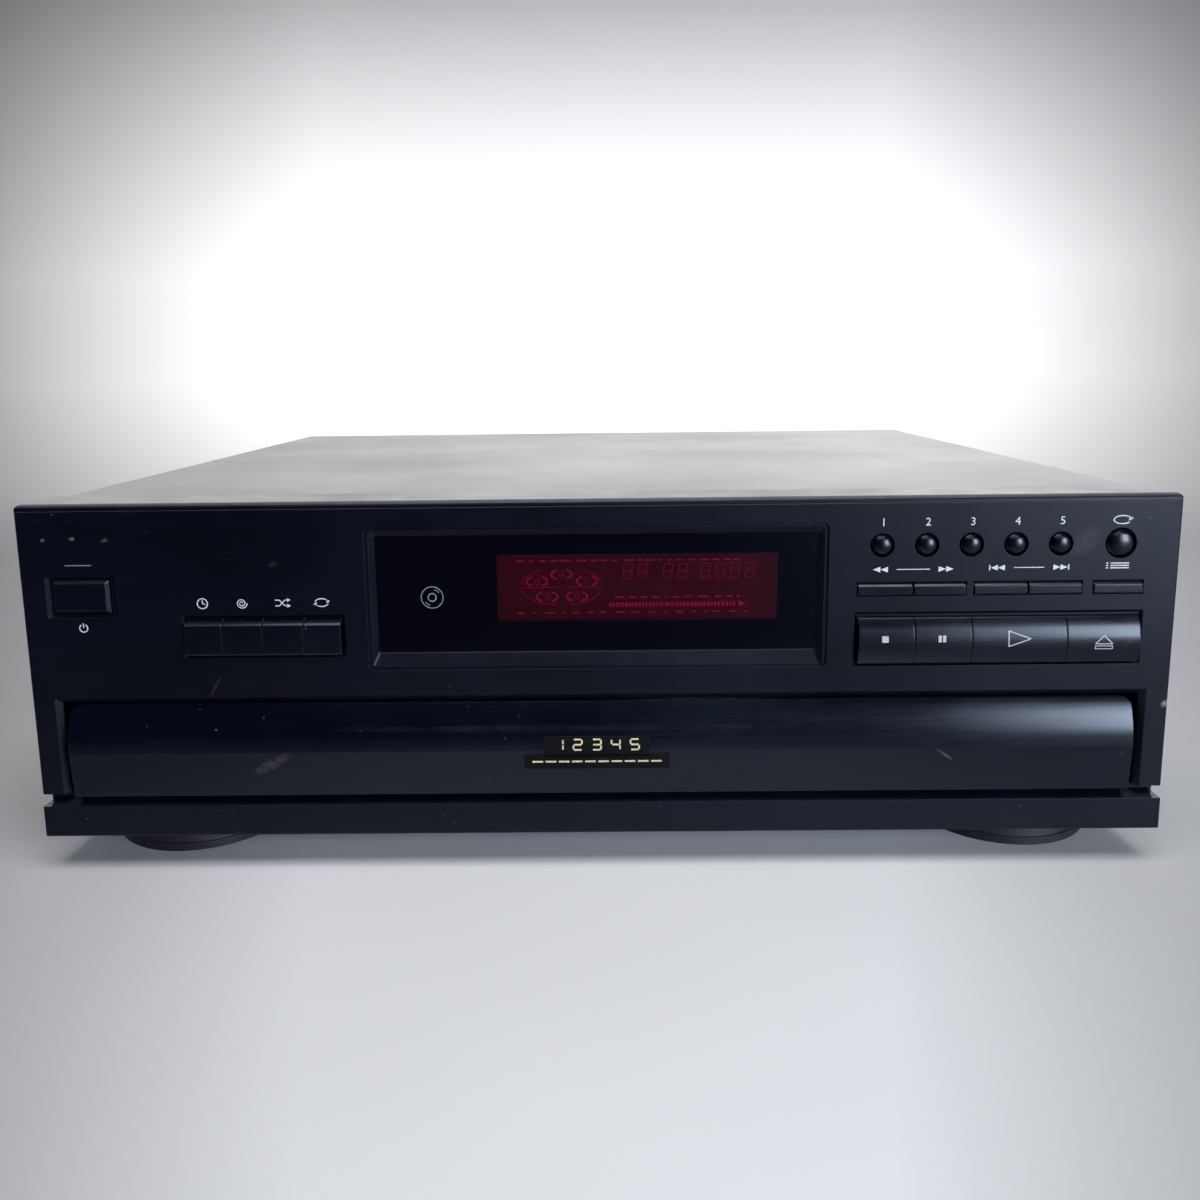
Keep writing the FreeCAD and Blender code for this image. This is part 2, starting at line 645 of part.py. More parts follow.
def stem_place(key):
    """Centre, in X and Z, of a key's stem."""
    bounds = key.BoundBox
    return (bounds.XMin + bounds.XMax) / 2, (bounds.ZMin + bounds.ZMax) / 2


def board_bosses(board, inset_x=BOSS_INSET):
    x0, x1, z0, z1 = board
    return [(x, z) for x in (x0 + inset_x, x1 - inset_x) for z in (z0 + BOSS_INSET, z1 - BOSS_INSET)]


def circuit_board(board, front):
    x0, x1, z0, z1 = board
    return box(x0, x1, front, front + BOARD_THICK, z0, z1)


def panel_bosses():
    """Posts moulded on the back of the front panel for its three circuit boards."""
    boards = ((LEFT_BOARD, BOARD_FRONT), (RIGHT_BOARD, BOARD_FRONT), (DISPLAY_BOARD, DISPLAY_BOARD_FRONT))
    bosses = []
    for board, front in boards:
        bosses += [level(x, z, PANEL_BACK - 0.5, front, 2.6) for x, z in board_bosses(board)]
    return bosses


def display_circuit_board():
    """Board behind the display tube, with one long slot for the tube's row of pins."""
    y0 = DISPLAY_BOARD_FRONT
    slot = box(TUBE_LEFT + PIN_INSET - 1, PIN_LAST + 1, y0 - 1, y0 + 3, PIN_Z - 0.6, PIN_Z + 0.6)
    return circuit_board(DISPLAY_BOARD, y0).cut(slot)


# -------------------------------------------------------------- drawer ----

def drawer_section(offset):
    """Front face of the drawer as Y and Z points, moved back by offset."""
    nose = FRONT - DRAWER_NOSE + offset
    bottom = nose + 1.5
    top = FRONT + DRAWER_TOP_BACK + offset
    rise = DRAWER_TOP - DRAWER_NOSE_Z
    sag = nose + (top - nose) * 0.245
    return bottom, nose, (sag, DRAWER_NOSE_Z + rise / 2), top


def drawer_front():
    """Moulded front: flat below, rolled back above, hollow behind with ribs to the tray."""
    back = FRONT + 4.0
    bottom, nose, middle, top = drawer_section(0)
    outer = extrude([
        V(-DRAWER_HALF, back, DRAWER_BOTTOM),
        V(-DRAWER_HALF, bottom, DRAWER_BOTTOM),
        V(-DRAWER_HALF, nose, DRAWER_NOSE_Z),
        (V(-DRAWER_HALF, *middle), V(-DRAWER_HALF, top, DRAWER_TOP)),
        V(-DRAWER_HALF, back, DRAWER_TOP),
    ], V(2 * DRAWER_HALF, 0, 0))
    half = DRAWER_HALF - DRAWER_WALL
    bottom, nose, middle, top = drawer_section(DRAWER_WALL)
    roof = DRAWER_TOP - DRAWER_WALL
    hollow = extrude([
        V(-half, back + 1, DRAWER_BOTTOM + DRAWER_WALL),
        V(-half, bottom, DRAWER_BOTTOM + DRAWER_WALL),
        V(-half, nose, DRAWER_NOSE_Z),
        (V(-half, middle[0], middle[1] - 1), V(-half, top - 0.4, roof)),
        V(-half, back + 1, roof),
    ], V(2 * half, 0, 0))
    ribs = [box(x - 1, x + 1, FRONT + 0.5, TRAY_FRONT, DRAWER_BOTTOM + 2.6, DRAWER_TOP - 6)
            for x in (-160, -80, 0, 80, 160)]
    corner = 2.0
    trims = []
    for sign in (-1, 1):
        edge = sign * DRAWER_HALF
        trims.append(extrude([
            V(edge - sign * corner, FRONT - 10, DRAWER_TOP),
            V(edge, FRONT - 10, DRAWER_TOP - corner),
            V(edge + sign, FRONT - 10, DRAWER_TOP + 1),
        ], V(0, 20, 0)))
    return fuse([cut(outer, [hollow] + trims)] + ribs)


def carousel_hole(radius, z0, z1):
    """Well for the carousel, open to the rear between the tray's arms."""
    well = upright(0, 0, z0, z1, radius)
    widest = math.sqrt(radius ** 2 - TRAY_ARM_INNER ** 2)
    return well.fuse(box(-TRAY_ARM_INNER, TRAY_ARM_INNER, widest - 2, TRAY_ARM_BACK + 1, z0, z1))


def tray_rack():
    """Rack under the tray's left side; its teeth face the middle."""
    pitch = math.pi * RACK_MODULE
    line = RACK_LINE
    count = int((DRAWER_TRAVEL + 16) / pitch)
    half_tooth = (pitch / 2 - BACKLASH) / 2
    lean = math.tan(math.radians(PRESSURE_ANGLE))
    root, tip = -DEDENDUM * RACK_MODULE, ADDENDUM * RACK_MODULE
    points = [V(line - 8, PINION_Y - 2 * pitch, RACK_BOTTOM)]
    for i in range(count):
        y = PINION_Y + (i - 1) * pitch
        points += [
            V(line + root, y - half_tooth + root * lean, RACK_BOTTOM),
            V(line + tip, y - half_tooth + tip * lean, RACK_BOTTOM),
            V(line + tip, y + half_tooth - tip * lean, RACK_BOTTOM),
            V(line + root, y + half_tooth - root * lean, RACK_BOTTOM),
        ]
    points.append(V(line - 8, PINION_Y + count * pitch, RACK_BOTTOM))
    return extrude(points, V(0, 0, TRAY_FLOOR - RACK_BOTTOM))


def drawer_tray():
    """Drawer moulding: floor, side walls with runners, and a deck round the carousel's well."""
    outer = box(-TRAY_HALF, TRAY_HALF, TRAY_FRONT, TRAY_ARM_BACK, TRAY_FLOOR, TRAY_DECK)
    under = box(-TRAY_HALF + TRAY_WALL, TRAY_HALF - TRAY_WALL,
                TRAY_FRONT + TRAY_WALL, TRAY_ARM_BACK - TRAY_WALL,
                TRAY_FLOOR + TRAY_WALL, TRAY_DECK - TRAY_WALL)
    wall = carousel_hole(CAROUSEL_R + 1.5 + TRAY_WALL, TRAY_FLOOR, TRAY_DECK)
    well = carousel_hole(CAROUSEL_R + 1.5, TRAY_FLOOR + TRAY_WALL, TRAY_DECK + 1)
    shell = outer.cut(under).fuse(wall.common(outer)).cut(well)
    rear = box(-TRAY_ARM_INNER, TRAY_ARM_INNER, TRAY_FLOOR_BACK, TRAY_ARM_BACK + 1, TRAY_FLOOR - 1,
               TRAY_DECK + 1)
    runner = both_sides(box(TRAY_HALF - 0.5, LIP_HALF, TRAY_FRONT, TRAY_ARM_BACK, LIP_BOTTOM, LIP_TOP))
    boss = upright(0, 0, TRAY_FLOOR + 1, CAROUSEL_BEARING - 0.1, 11)
    post = upright(0, 0, TRAY_FLOOR + 1, TRAY_DECK, POST_R)
    drive_post = upright(DRIVE_X, DRIVE_Y, TRAY_FLOOR + 1, DRIVE_TOP, 3)
    front_rim = upright(0, 0, TRAY_FLOOR + 1, CAROUSEL_UNDER - 0.4, 124)
    front_rim = front_rim.cut(upright(0, 0, TRAY_FLOOR, CAROUSEL_UNDER, 122))
    front_rim = front_rim.common(box(-130, 130, -130, TRAY_FLOOR_BACK - 1, TRAY_FLOOR, TRAY_DECK))
    shell = fuse([shell.cut(rear), post, boss, drive_post, front_rim, tray_rack()] + runner)
    return shell


def carousel_places():
    """Centres of the disc places; the last one lies over the spindle at rest."""
    places = []
    for i in range(DISC_COUNT):
        angle = math.radians(90 + 72 * (i + 1))
        places.append((DISC_CIRCLE * math.cos(angle), DISC_CIRCLE * math.sin(angle), math.degrees(angle)))
    return places


def disc_guide(angle):
    """Raised guide between two disc places: straight sides touch both discs, the outer side is the rim."""
    def at(radius, turn):
        direction = math.radians(angle + turn)
        return V(radius * math.cos(direction), radius * math.sin(direction), DISC_SEAT)

    return extrude([
        at(GUIDE_TIP, 0),
        at(CAROUSEL_R - 1, -GUIDE_SPREAD),
        (at(CAROUSEL_R - 1, 0), at(CAROUSEL_R - 1, GUIDE_SPREAD)),
    ], V(0, 0, CAROUSEL_TOP - DISC_SEAT))


def carousel():
    """Turning plate with five slots for turntable and pickup; its raised middle and guides are set on it."""
    plate = upright(0, 0, CAROUSEL_UNDER, DISC_SEAT, CAROUSEL_R)
    hub = upright(0, 0, CAROUSEL_BEARING, DISC_SEAT, HUB_R)
    bore = upright(0, 0, CAROUSEL_BEARING - 1, CAROUSEL_TOP + 3, POST_R + POST_GAP)
    cuts = [bore]
    for x, y, angle in carousel_places():
        cuts.append(upright(x, y, SMALL_DISC_SEAT, CAROUSEL_TOP, SMALL_DISC_R + 0.4))
        cuts.append(upright(x, y, CAROUSEL_UNDER - 1, CAROUSEL_TOP, SLOT_HALF))
        slot = box(DISC_CIRCLE, CAROUSEL_R + 5, -SLOT_HALF, SLOT_HALF, CAROUSEL_UNDER - 5, CAROUSEL_TOP)
        cuts.append(slot.rotate(V(0, 0, 0), Z_AXIS, angle))
    hub_top = upright(0, 0, CAROUSEL_TOP, CAROUSEL_TOP + 1.2, HUB_R)
    middle = upright(0, 0, DISC_SEAT, CAROUSEL_TOP, MIDDLE_R).fuse(hub_top)
    guides = [disc_guide(angle + 180 / DISC_COUNT) for x, y, angle in carousel_places()]
    return group([cut(fuse([plate, hub]), cuts), middle.cut(bore)] + guides)


def carousel_ring_gear():
    ring = gear(RING_TEETH, GEAR_MODULE, RING_Z0, RING_Z1, 34, turn=-45)
    drum = upright(0, 0, RING_Z1, CAROUSEL_UNDER, 38)
    drum = drum.cut(upright(0, 0, RING_Z1 - 1, CAROUSEL_UNDER + 1, 34))
    return fuse([ring, drum])


def carousel_hub_cap():
    cap = Part.makeCone(HUB_R, HUB_R - 2.5, 2.4, V(0, 0, CAROUSEL_TOP + 1.5), Z_AXIS)
    seat = upright(0, 0, TRAY_DECK, CAROUSEL_TOP + 1.5, POST_R - 0.5)
    slot = box(-4, 4, -0.6, 0.6, CAROUSEL_TOP + 2.9, CAROUSEL_TOP + 5)
    return fuse([cap, seat]).cut(slot)


def carousel_drive_gear():
    """Compound gear: the upper pinion turns the carousel's ring, the lower wheel meets the motor."""
    bore = 3 + RUNNING
    pinion = gear(DRIVE_TEETH, GEAR_MODULE, WHEEL_TOP, RING_Z1 + 0.5, bore,
                  DRIVE_X, DRIVE_Y, 135 + 180 / DRIVE_TEETH)
    wheel = gear(REDUCTION_TEETH, GEAR_MODULE, TRAY_FLOOR + TRAY_WALL + 1, WHEEL_TOP, bore,
                 DRIVE_X, DRIVE_Y, -45)
    return fuse([pinion, wheel])


def carousel_motor():
    can = upright(CAROUSEL_MOTOR_X, CAROUSEL_MOTOR_Y, 44, 53.8, 10.5)
    boss = upright(CAROUSEL_MOTOR_X, CAROUSEL_MOTOR_Y, 43.2, 44, 4)
    foot = box(CAROUSEL_MOTOR_X - 6, CAROUSEL_MOTOR_X + 6, CAROUSEL_MOTOR_Y - 15, CAROUSEL_MOTOR_Y - 9,
               TRAY_FLOOR + TRAY_WALL, 53.8)
    shaft = upright(CAROUSEL_MOTOR_X, CAROUSEL_MOTOR_Y, 38.5, 43.2, 1)
    return fuse([can, boss, foot, shaft])


def carousel_motor_gear():
    return gear(MOTOR_TEETH, GEAR_MODULE, 38.6, 42.8, 1 + RUNNING, CAROUSEL_MOTOR_X, CAROUSEL_MOTOR_Y,
                135 + 180 / MOTOR_TEETH)


def slide_rail():
    """Right-hand rail: foot, runner bed below the tray and a hook over its lip."""
    y0, y1 = FRONT + 6.2, 128.0
    web = box(200.2, 202.2, y0, y1, FLOOR_TOP, LIP_TOP + 3)
    base = box(190, 202.2, y0, y1, FLOOR_TOP, FLOOR_TOP + 2)
    bed = box(190, 202.2, y0, y1, TRAY_FLOOR - 2.5, TRAY_FLOOR - 0.2)
    hook = box(197.6, 202.2, y0, y1, LIP_TOP + 0.5, LIP_TOP + 3)
    ribs = [box(192, 202, y, y + 2, FLOOR_TOP, TRAY_FLOOR - 1) for y in range(-170, 128, 48)]
    return fuse([web, base, bed, hook] + ribs)


# ------------------------------------------------------- loading drive ----

def pulley(x, radius):
    """Grooved pulley; radius is the floor of its groove plus half the belt."""
    floor = radius - BELT_THICK / 2
    top = PULLEY_Z + PULLEY_THICK
    core = upright(x, PINION_Y, PULLEY_Z, top, floor)
    lower = upright(x, PINION_Y, PULLEY_Z, PULLEY_Z + 0.6, floor + 1.6)
    upper = upright(x, PINION_Y, top - 0.6, top, floor + 1.6)
    return fuse([core, lower, upper])


def drive_belt():
    """Flat belt lying just clear of both grooves."""
    def loop(offset):
        big = LOADING_PULLEY_R - BELT_THICK / 2 + 0.1 + offset
        small = MOTOR_PULLEY_R - BELT_THICK / 2 + 0.1 + offset
        lean = math.acos((big - small) / (LOADING_MOTOR_X - LOADING_X))
        z = PULLEY_Z + 0.8

        def at(x, radius, angle):
            return V(x + radius * math.cos(angle), PINION_Y + radius * math.sin(angle), z)

        return extrude([
            at(LOADING_MOTOR_X, small, lean),
            at(LOADING_X, big, lean),
            (at(LOADING_X, big, math.pi), at(LOADING_X, big, -lean)),
            at(LOADING_MOTOR_X, small, -lean),
            (at(LOADING_MOTOR_X, small, 0), at(LOADING_MOTOR_X, small, lean)),
        ], V(0, 0, PULLEY_THICK - 1.6))
    return loop(BELT_THICK).cut(loop(0))


def loading_bracket():
    """Steel plate with the two gear posts and the bridge that carries the motor."""
    plate = box(PINION_X - 12, LOADING_MOTOR_X + 16, PINION_Y - 20, PINION_Y + 20, FLOOR_TOP,
                FLOOR_TOP + 0.8)
    posts = [upright(PINION_X, PINION_Y, FLOOR_TOP, 35.7, 2),
             upright(LOADING_X, PINION_Y, FLOOR_TOP, 26, 2)]
    bridge = box(LOADING_MOTOR_X - 14, LOADING_MOTOR_X + 14, PINION_Y - 17, PINION_Y + 17, 20.0, 21.0)
    legs = [box(LOADING_MOTOR_X - 14, LOADING_MOTOR_X + 14, y, y + 1, FLOOR_TOP, 21.0)
            for y in (PINION_Y - 18, PINION_Y + 17)]
    solid = fuse([plate, bridge] + posts + legs)
    return solid.cut(upright(LOADING_MOTOR_X, PINION_Y, 19, 22, 3.2))


def loading_motor():
    can = upright(LOADING_MOTOR_X, PINION_Y, 21.0, 32.0, 11)
    boss = upright(LOADING_MOTOR_X, PINION_Y, 20.0, 21.0, 3)
    shaft = upright(LOADING_MOTOR_X, PINION_Y, PULLEY_Z + 0.2, 20.0, 1)
    return fuse([can, boss, shaft])


def motor_pulley():
    bore = upright(LOADING_MOTOR_X, PINION_Y, 10, 30, 1 + RUNNING)
    return pulley(LOADING_MOTOR_X, MOTOR_PULLEY_R).cut(bore)


def loading_gear():
    small = gear(LOADING_TEETH, RACK_MODULE, PULLEY_Z + PULLEY_THICK, 24.6, 2 + RUNNING,
                 LOADING_X, PINION_Y, 180 + 180 / LOADING_TEETH)
    wheel = pulley(LOADING_X, LOADING_PULLEY_R).cut(upright(LOADING_X, PINION_Y, 10, 30, 2 + RUNNING))
    return fuse([small, wheel])


def drawer_pinion():
    wheel = gear(PINION_WHEEL_TEETH, RACK_MODULE, 20.4, 24.0, 2 + RUNNING, PINION_X, PINION_Y, 0)
    pinion = gear(PINION_TEETH, RACK_MODULE, 24.0, 35.4, 2 + RUNNING, PINION_X, PINION_Y,
                  180 + 180 / PINION_TEETH)
    return fuse([wheel, pinion])


# ------------------------------------------------------ disc mechanism ----

POSTS = [(-68.0, 52.0), (68.0, 52.0), (-68.0, 166.0), (68.0, 166.0)]
CAM_Y = DECK_BACK + 2.4
CAM_PIN_X = 40.0
CAM_PIN_Z = LIFT_DECK_Z + 1.0


def mechanism_base():
    """Steel plate with the four lift posts and two guides for the cam slider."""
    plate = box(-82, 82, 44, CAM_Y + 5, FLOOR_TOP, FLOOR_TOP + 1.5)
    window = box(-56, 56, 62, 158, FLOOR_TOP - 1, FLOOR_TOP + 3)
    posts = [upright(x, y, FLOOR_TOP, CAROUSEL_UNDER - 4, 2.5) for x, y in POSTS]
    guides = []
    for x in (-78, 72):
        for y in (CAM_Y - 1.2, CAM_Y + 1.7):
            guides.append(box(x, x + 6, y, y + 1.0, FLOOR_TOP, 26))
    return fuse([plate.cut(window)] + posts + guides)


def lift_deck():
    """Pressed deck on four bushes, open in the middle for pickup and spindle motor."""
    z0, z1 = LIFT_DECK_Z, LIFT_DECK_Z + 2
    plate = box(-DECK_HALF, DECK_HALF, DECK_FRONT, DECK_BACK, z0, z1)
    skirts = both_sides(box(DECK_HALF - 1.5, DECK_HALF, DECK_FRONT, DECK_BACK, z0 - 6, z0))
    skirts.append(box(-DECK_HALF, DECK_HALF, DECK_BACK - 1.5, DECK_BACK, z0 - 3, z0))
    bushes = [upright(x, y, z0 - 6, z1 + 2, 5) for x, y in POSTS]
    bores = [upright(x, y, z0 - 8, z1 + 5, 2.5 + 0.1) for x, y in POSTS]
    opening = box(-33, 33, SPINDLE_Y + 14, DECK_BACK - 3, z0 - 1, z1 + 1)
    motor_hole = upright(0, SPINDLE_Y, z0 - 1, z1 + 1, 5)
    ends = [box(x - 3, x + 3, y, y + 2.5, z1, ROD_Z + 1.8)
            for x in (-ROD_X, ROD_X) for y in (SPINDLE_Y + 9, DECK_BACK - 3)]
    pins = [level(x, CAM_PIN_Z, DECK_BACK - 1, CAM_Y + 2.6, 1.5) for x in (-CAM_PIN_X, CAM_PIN_X)]
    return cut(fuse([plate] + skirts + bushes + ends + pins), bores + [opening, motor_hole])


def guide_rods():
    return group([level(x, ROD_Z, SPINDLE_Y + 11.5, DECK_BACK - 3, ROD_R) for x in (-ROD_X, ROD_X)])


def spindle_motor():
    can = upright(0, SPINDLE_Y, 22, LIFT_DECK_Z, 13)
    boss = upright(0, SPINDLE_Y, LIFT_DECK_Z, LIFT_DECK_Z + 3, 4)
    shaft = upright(0, SPINDLE_Y, LIFT_DECK_Z + 3, 52.8, 1)
    return fuse([can, boss, shaft])


def disc_turntable():
    """Turntable with its centring cone; it lifts the disc from the carousel."""
    table = upright(0, SPINDLE_Y, 47, 49.5, 14.5)
    sleeve = upright(0, SPINDLE_Y, 41, 47, 4)
    cone = Part.makeCone(7.4, 4.8, 4.5, V(0, SPINDLE_Y, 49.5), Z_AXIS)
    return fuse([table, sleeve, cone]).cut(upright(0, SPINDLE_Y, 40, 53, 1 + RUNNING))


def optical_pickup():
    """Sled on the two rods, with the raised lens housing."""
    y = SPINDLE_Y + PICKUP_IN
    z = ROD_Z
    body = box(-ROD_X + 4, ROD_X - 4, y - 6.5, y + 6, z - 3.5, z + 2.0)
    bearings = [box(x - 4.2, x + 4.2, y - 5, y + 5, z - 3.2, z + 2.4) for x in (-ROD_X, ROD_X)]
    housing = rounded_block(-9, 9, y - 6, y + 6, z + 1, z + 4.3, 0.5)
    rim = upright(0, y, z + 4.3, z + 5.4, 4.6)
    lens = Part.makeCone(3.2, 1.4, 0.7, V(0, y, z + 5.4), Z_AXIS)
    bores = [level(x, z, y - 20, y + 20, ROD_R + RUNNING) for x in (-ROD_X, ROD_X)]
    return cut(fuse([body, housing, rim, lens] + bearings), bores)


def cam_slider():
    """Upright plate with two sloping slots that carry the deck's pins."""
    y0, y1 = CAM_Y, CAM_Y + 1.5
    plate = box(-62, 72, y0, y1, FLOOR_TOP + 2.2, LIFT_DECK_Z + LIFT + 5)
    half = 1.5 + 0.15
    run = LIFT * CAM_RATIO
    slots = []
    for x in (-CAM_PIN_X, CAM_PIN_X):
        length = math.hypot(run, LIFT)
        slot = box(0, length, y0 - 1, y1 + 1, -half, half)
        slot = fuse([slot, level(0, 0, y0 - 1, y1 + 1, half), level(length, 0, y0 - 1, y1 + 1, half)])
        slot.rotate(V(0, 0, 0), Y_AXIS, -math.degrees(math.atan2(LIFT, run)))
        slot.translate(V(x, 0, CAM_PIN_Z))
        slots.append(slot)
    return cut(plate, slots)


def clamp_bridge():
    """Steel bridge over the disc path, standing on the chassis outside the rails."""
    y0, y1 = SPINDLE_Y - 17, SPINDLE_Y + 17
    inner = 204.5
    span = box(-inner - 1.2, inner + 1.2, y0, y1, CLAMP_Z, CLAMP_Z + 1.5)
    legs = both_sides(box(inner, inner + 1.5, y0, y1, FLOOR_TOP, CLAMP_Z + 1.5))
    feet = both_sides(box(inner, inner + 6.5, y0, y1, FLOOR_TOP, FLOOR_TOP + 1.5))
    ribs = [box(-inner + 20, inner - 20, y, y + 1.5, CLAMP_Z + 1.5, CLAMP_Z + 7) for y in (y0, y1 - 1.5)]
    solid = fuse([span] + legs + feet + ribs)
    return solid.cut(upright(0, SPINDLE_Y, CLAMP_Z - 5, CLAMP_Z + 10, 12.5))


def disc_clamper():
    """Clamping disc hanging in the bridge by its upper rim."""
    pad = upright(0, SPINDLE_Y, CLAMP_Z - 4.0, CLAMP_Z - 1.7, 15)
    neck = upright(0, SPINDLE_Y, CLAMP_Z - 1.7, CLAMP_Z + 1.5, 12)
    rim = upright(0, SPINDLE_Y, CLAMP_Z + 1.5, CLAMP_Z + 3.5, 15)
    pocket = upright(0, SPINDLE_Y, CLAMP_Z - 5, CLAMP_Z + 1.5, 8)
    return fuse([pad, neck, rim]).cut(pocket)


# -------------------------------------------------------- electrical ----

def main_circuit_board():
    """Board flat on the chassis below the drawer, with its taller components."""
    x0, x1, y0, y1 = -62.0, 168.0, -112.0, 26.0
    z = FLOOR_TOP + 4
    board = box(x0, x1, y0, y1, z, z + BOARD_THICK)
    pillars = [box(x - 3, x + 3, y - 3, y + 3, FLOOR_TOP, z)
               for x in (x0 + 6, x1 - 6) for y in (y0 + 6, y1 - 6)]
    top = z + BOARD_THICK
    cans = [upright(x, y, top, top + 9.5, 5) for x, y in ((140, 8), (126, 8), (140, -8), (60, 10))]
    chips = [box(10, 34, -40, -16, top, top + 2.4), box(70, 88, -60, -50, top, top + 3.5),
             box(70, 88, -80, -70, top, top + 3.5), box(-40, -22, -60, -42, top, top + 2)]
    heat_sink = [box(100 + i * 5, 101.5 + i * 5, -100, -70, top, top + 9) for i in range(7)]
    heat_sink.append(box(100, 131.5, -100, -70, top, top + 2))
    return fuse([board] + pillars + cans + chips + heat_sink)


def power_transformer():
    """Laminated core with its coil and mounting feet in the rear left corner."""
    x0, x1, y0, y1 = -196.0, -148.0, 130.0, 172.0
    core = box(x0, x1, y0 + 9, y1 - 9, FLOOR_TOP + 3, FLOOR_TOP + 45)
    coil = rounded_block(x0 + 9, x1 - 9, y0, y1, FLOOR_TOP + 9, FLOOR_TOP + 39, 4)
    frame = box(x0 - 5, x1 + 5, y0 + 11, y1 - 11, FLOOR_TOP, FLOOR_TOP + 3)
    return fuse([core, coil, frame])


def audio_jacks():
    """Pair of line output jacks on a moulded block behind the rear panel."""
    x0, x1 = JACK_X[0] - 9, JACK_X[-1] + 9
    block = box(x0, x1, CASE_BACK - SHEET - 11, CASE_BACK - SHEET, JACK_Z[0] - 9, JACK_Z[0] + 9)
    shells = []
    bores = []
    for x in JACK_X:
        for z in JACK_Z:
            shells.append(level(x, z, CASE_BACK - SHEET - 1, CASE_BACK + 0.8, JACK_R + 1.1))
            shells.append(level(x, z, CASE_BACK, CASE_BACK + JACK_LENGTH, JACK_R))
            bores.append(level(x, z, CASE_BACK - 4, CASE_BACK + JACK_LENGTH + 1, 1.7))
    return cut(fuse([block] + shells), bores)


def mains_inlet():
    """Two-pin mains socket set in the rear panel."""
    y0, y1 = CASE_BACK - 16, CASE_BACK + 1.5
    flange = rounded_block(INLET_X - 14, INLET_X + 14, CASE_BACK, y1, INLET_Z - 9, INLET_Z + 9, 3)
    body = rounded_block(INLET_X - 11.8, INLET_X + 11.8, y0, CASE_BACK, INLET_Z - 6.8, INLET_Z + 6.8, 3)
    well = rounded_block(INLET_X - 8.4, INLET_X + 8.4, y0 + 3, y1 + 1, INLET_Z - 4.3, INLET_Z + 4.3, 3.5)
    pins = [level(INLET_X + x, INLET_Z, y0 + 2, y1 - 3, 1.2) for x in (-4.3, 4.3)]
    return fuse([cut(fuse([flange, body]), [well])] + pins)


def power_board():
    """Upright board that joins inlet and transformer, screwed to the rear panel's posts."""
    y0 = CASE_BACK - 26.0
    board = box(-205, -140, y0, y0 + BOARD_THICK, 74, 118)
    posts = [box(x - 3, x + 3, y0 + BOARD_THICK, CASE_BACK - SHEET, z - 3, z + 3)
             for x in (-201, -144) for z in (78, 114)]
    fuse_holder = box(-170, -146, y0 - 7, y0, 84, 92)
    coil = level(-186, 100, y0 - 12, y0, 8)
    lead_block = box(INLET_X - 10, INLET_X + 10, y0 + BOARD_THICK, CASE_BACK - 16, INLET_Z - 5,
                     INLET_Z + 5)
    return fuse([board, fuse_holder, coil, lead_block] + posts)


def cover_screws():
    """Two screws in each side of the cover."""
    return [Part.makeCone(4.0, 3.4, 0.7, V(side * COVER_HALF, y, 24), V(side, 0, 0))
            for side in (-1, 1) for y in (-120.0, 140.0)]


def rear_screws():
    places = [(x, z) for x in (-206, 206) for z in (22, 134)] + [(0, 134)]
    return [Part.makeCone(3.4, 2.8, 1.6, V(x, CASE_BACK, z), Y_AXIS) for x, z in places]


def key_circuit_boards(keys):
    """Boards behind the left and right keys, each with a switch behind every stem."""
    boards = [circuit_board(LEFT_BOARD, BOARD_FRONT), circuit_board(RIGHT_BOARD, BOARD_FRONT)]
    left, right = [], []
    for key in keys.values():
        x, z = stem_place(key)
        (left if x < 0 else right).append(switch_at(x, z))
    return group([fuse([boards[0]] + left), fuse([boards[1]] + right)])


def case_screws():
    return group(cover_screws() + rear_screws() + foot_screws())


def main():
    os.makedirs("parts", exist_ok=True)
    keys = all_keys()
    nodes = {
        "front_panel": fuse([front_panel()] + panel_bosses()),
        "display_window": display_window(),
        "display_tube": display_tube(),
        "display_circuit_board": display_circuit_board(),
        "key_circuit_boards": key_circuit_boards(keys),
        "bottom_chassis": bottom_chassis(),
        "rear_panel": rear_panel(),
        "top_cover": top_cover(),
        "case_screws": case_screws(),
        "feet": feet(),
        "drawer_front": drawer_front(),
        "drawer_tray": drawer_tray(),
        "carousel": carousel(),
        "carousel_ring_gear": carousel_ring_gear(),
        "carousel_hub_cap": carousel_hub_cap(),
        "carousel_drive_gear": carousel_drive_gear(),
        "carousel_motor": carousel_motor(),
        "carousel_motor_gear": carousel_motor_gear(),
        "slide_rail_left": mirror_x(slide_rail()),
        "slide_rail_right": slide_rail(),
        "loading_bracket": loading_bracket(),
        "loading_motor": loading_motor(),
        "motor_pulley": motor_pulley(),
        "drive_belt": drive_belt(),
        "loading_gear": loading_gear(),
        "drawer_pinion": drawer_pinion(),
        "mechanism_base": mechanism_base(),
        "lift_deck": lift_deck(),
        "guide_rods": guide_rods(),
        "spindle_motor": spindle_motor(),
        "disc_turntable": disc_turntable(),
        "optical_pickup": optical_pickup(),
        "cam_slider": cam_slider(),
        "clamp_bridge": clamp_bridge(),
        "disc_clamper": disc_clamper(),
        "main_circuit_board": main_circuit_board(),
        "power_transformer": power_transformer(),
        "power_board": power_board(),
        "audio_jacks": audio_jacks(),
        "mains_inlet": mains_inlet(),
    }
    nodes.update(keys)
    for name, shape in nodes.items():
        save(name, shape)
        solids = len(shape.Solids)
        print("%-24s valid %s solids %d volume %.0f" % (name, shape.isValid(), solids, shape.Volume))
    print(len(nodes), "nodes")


main()
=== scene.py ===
import json
import math
import random
from collections import namedtuple

import bmesh
import bpy
from mathutils import Matrix, Vector


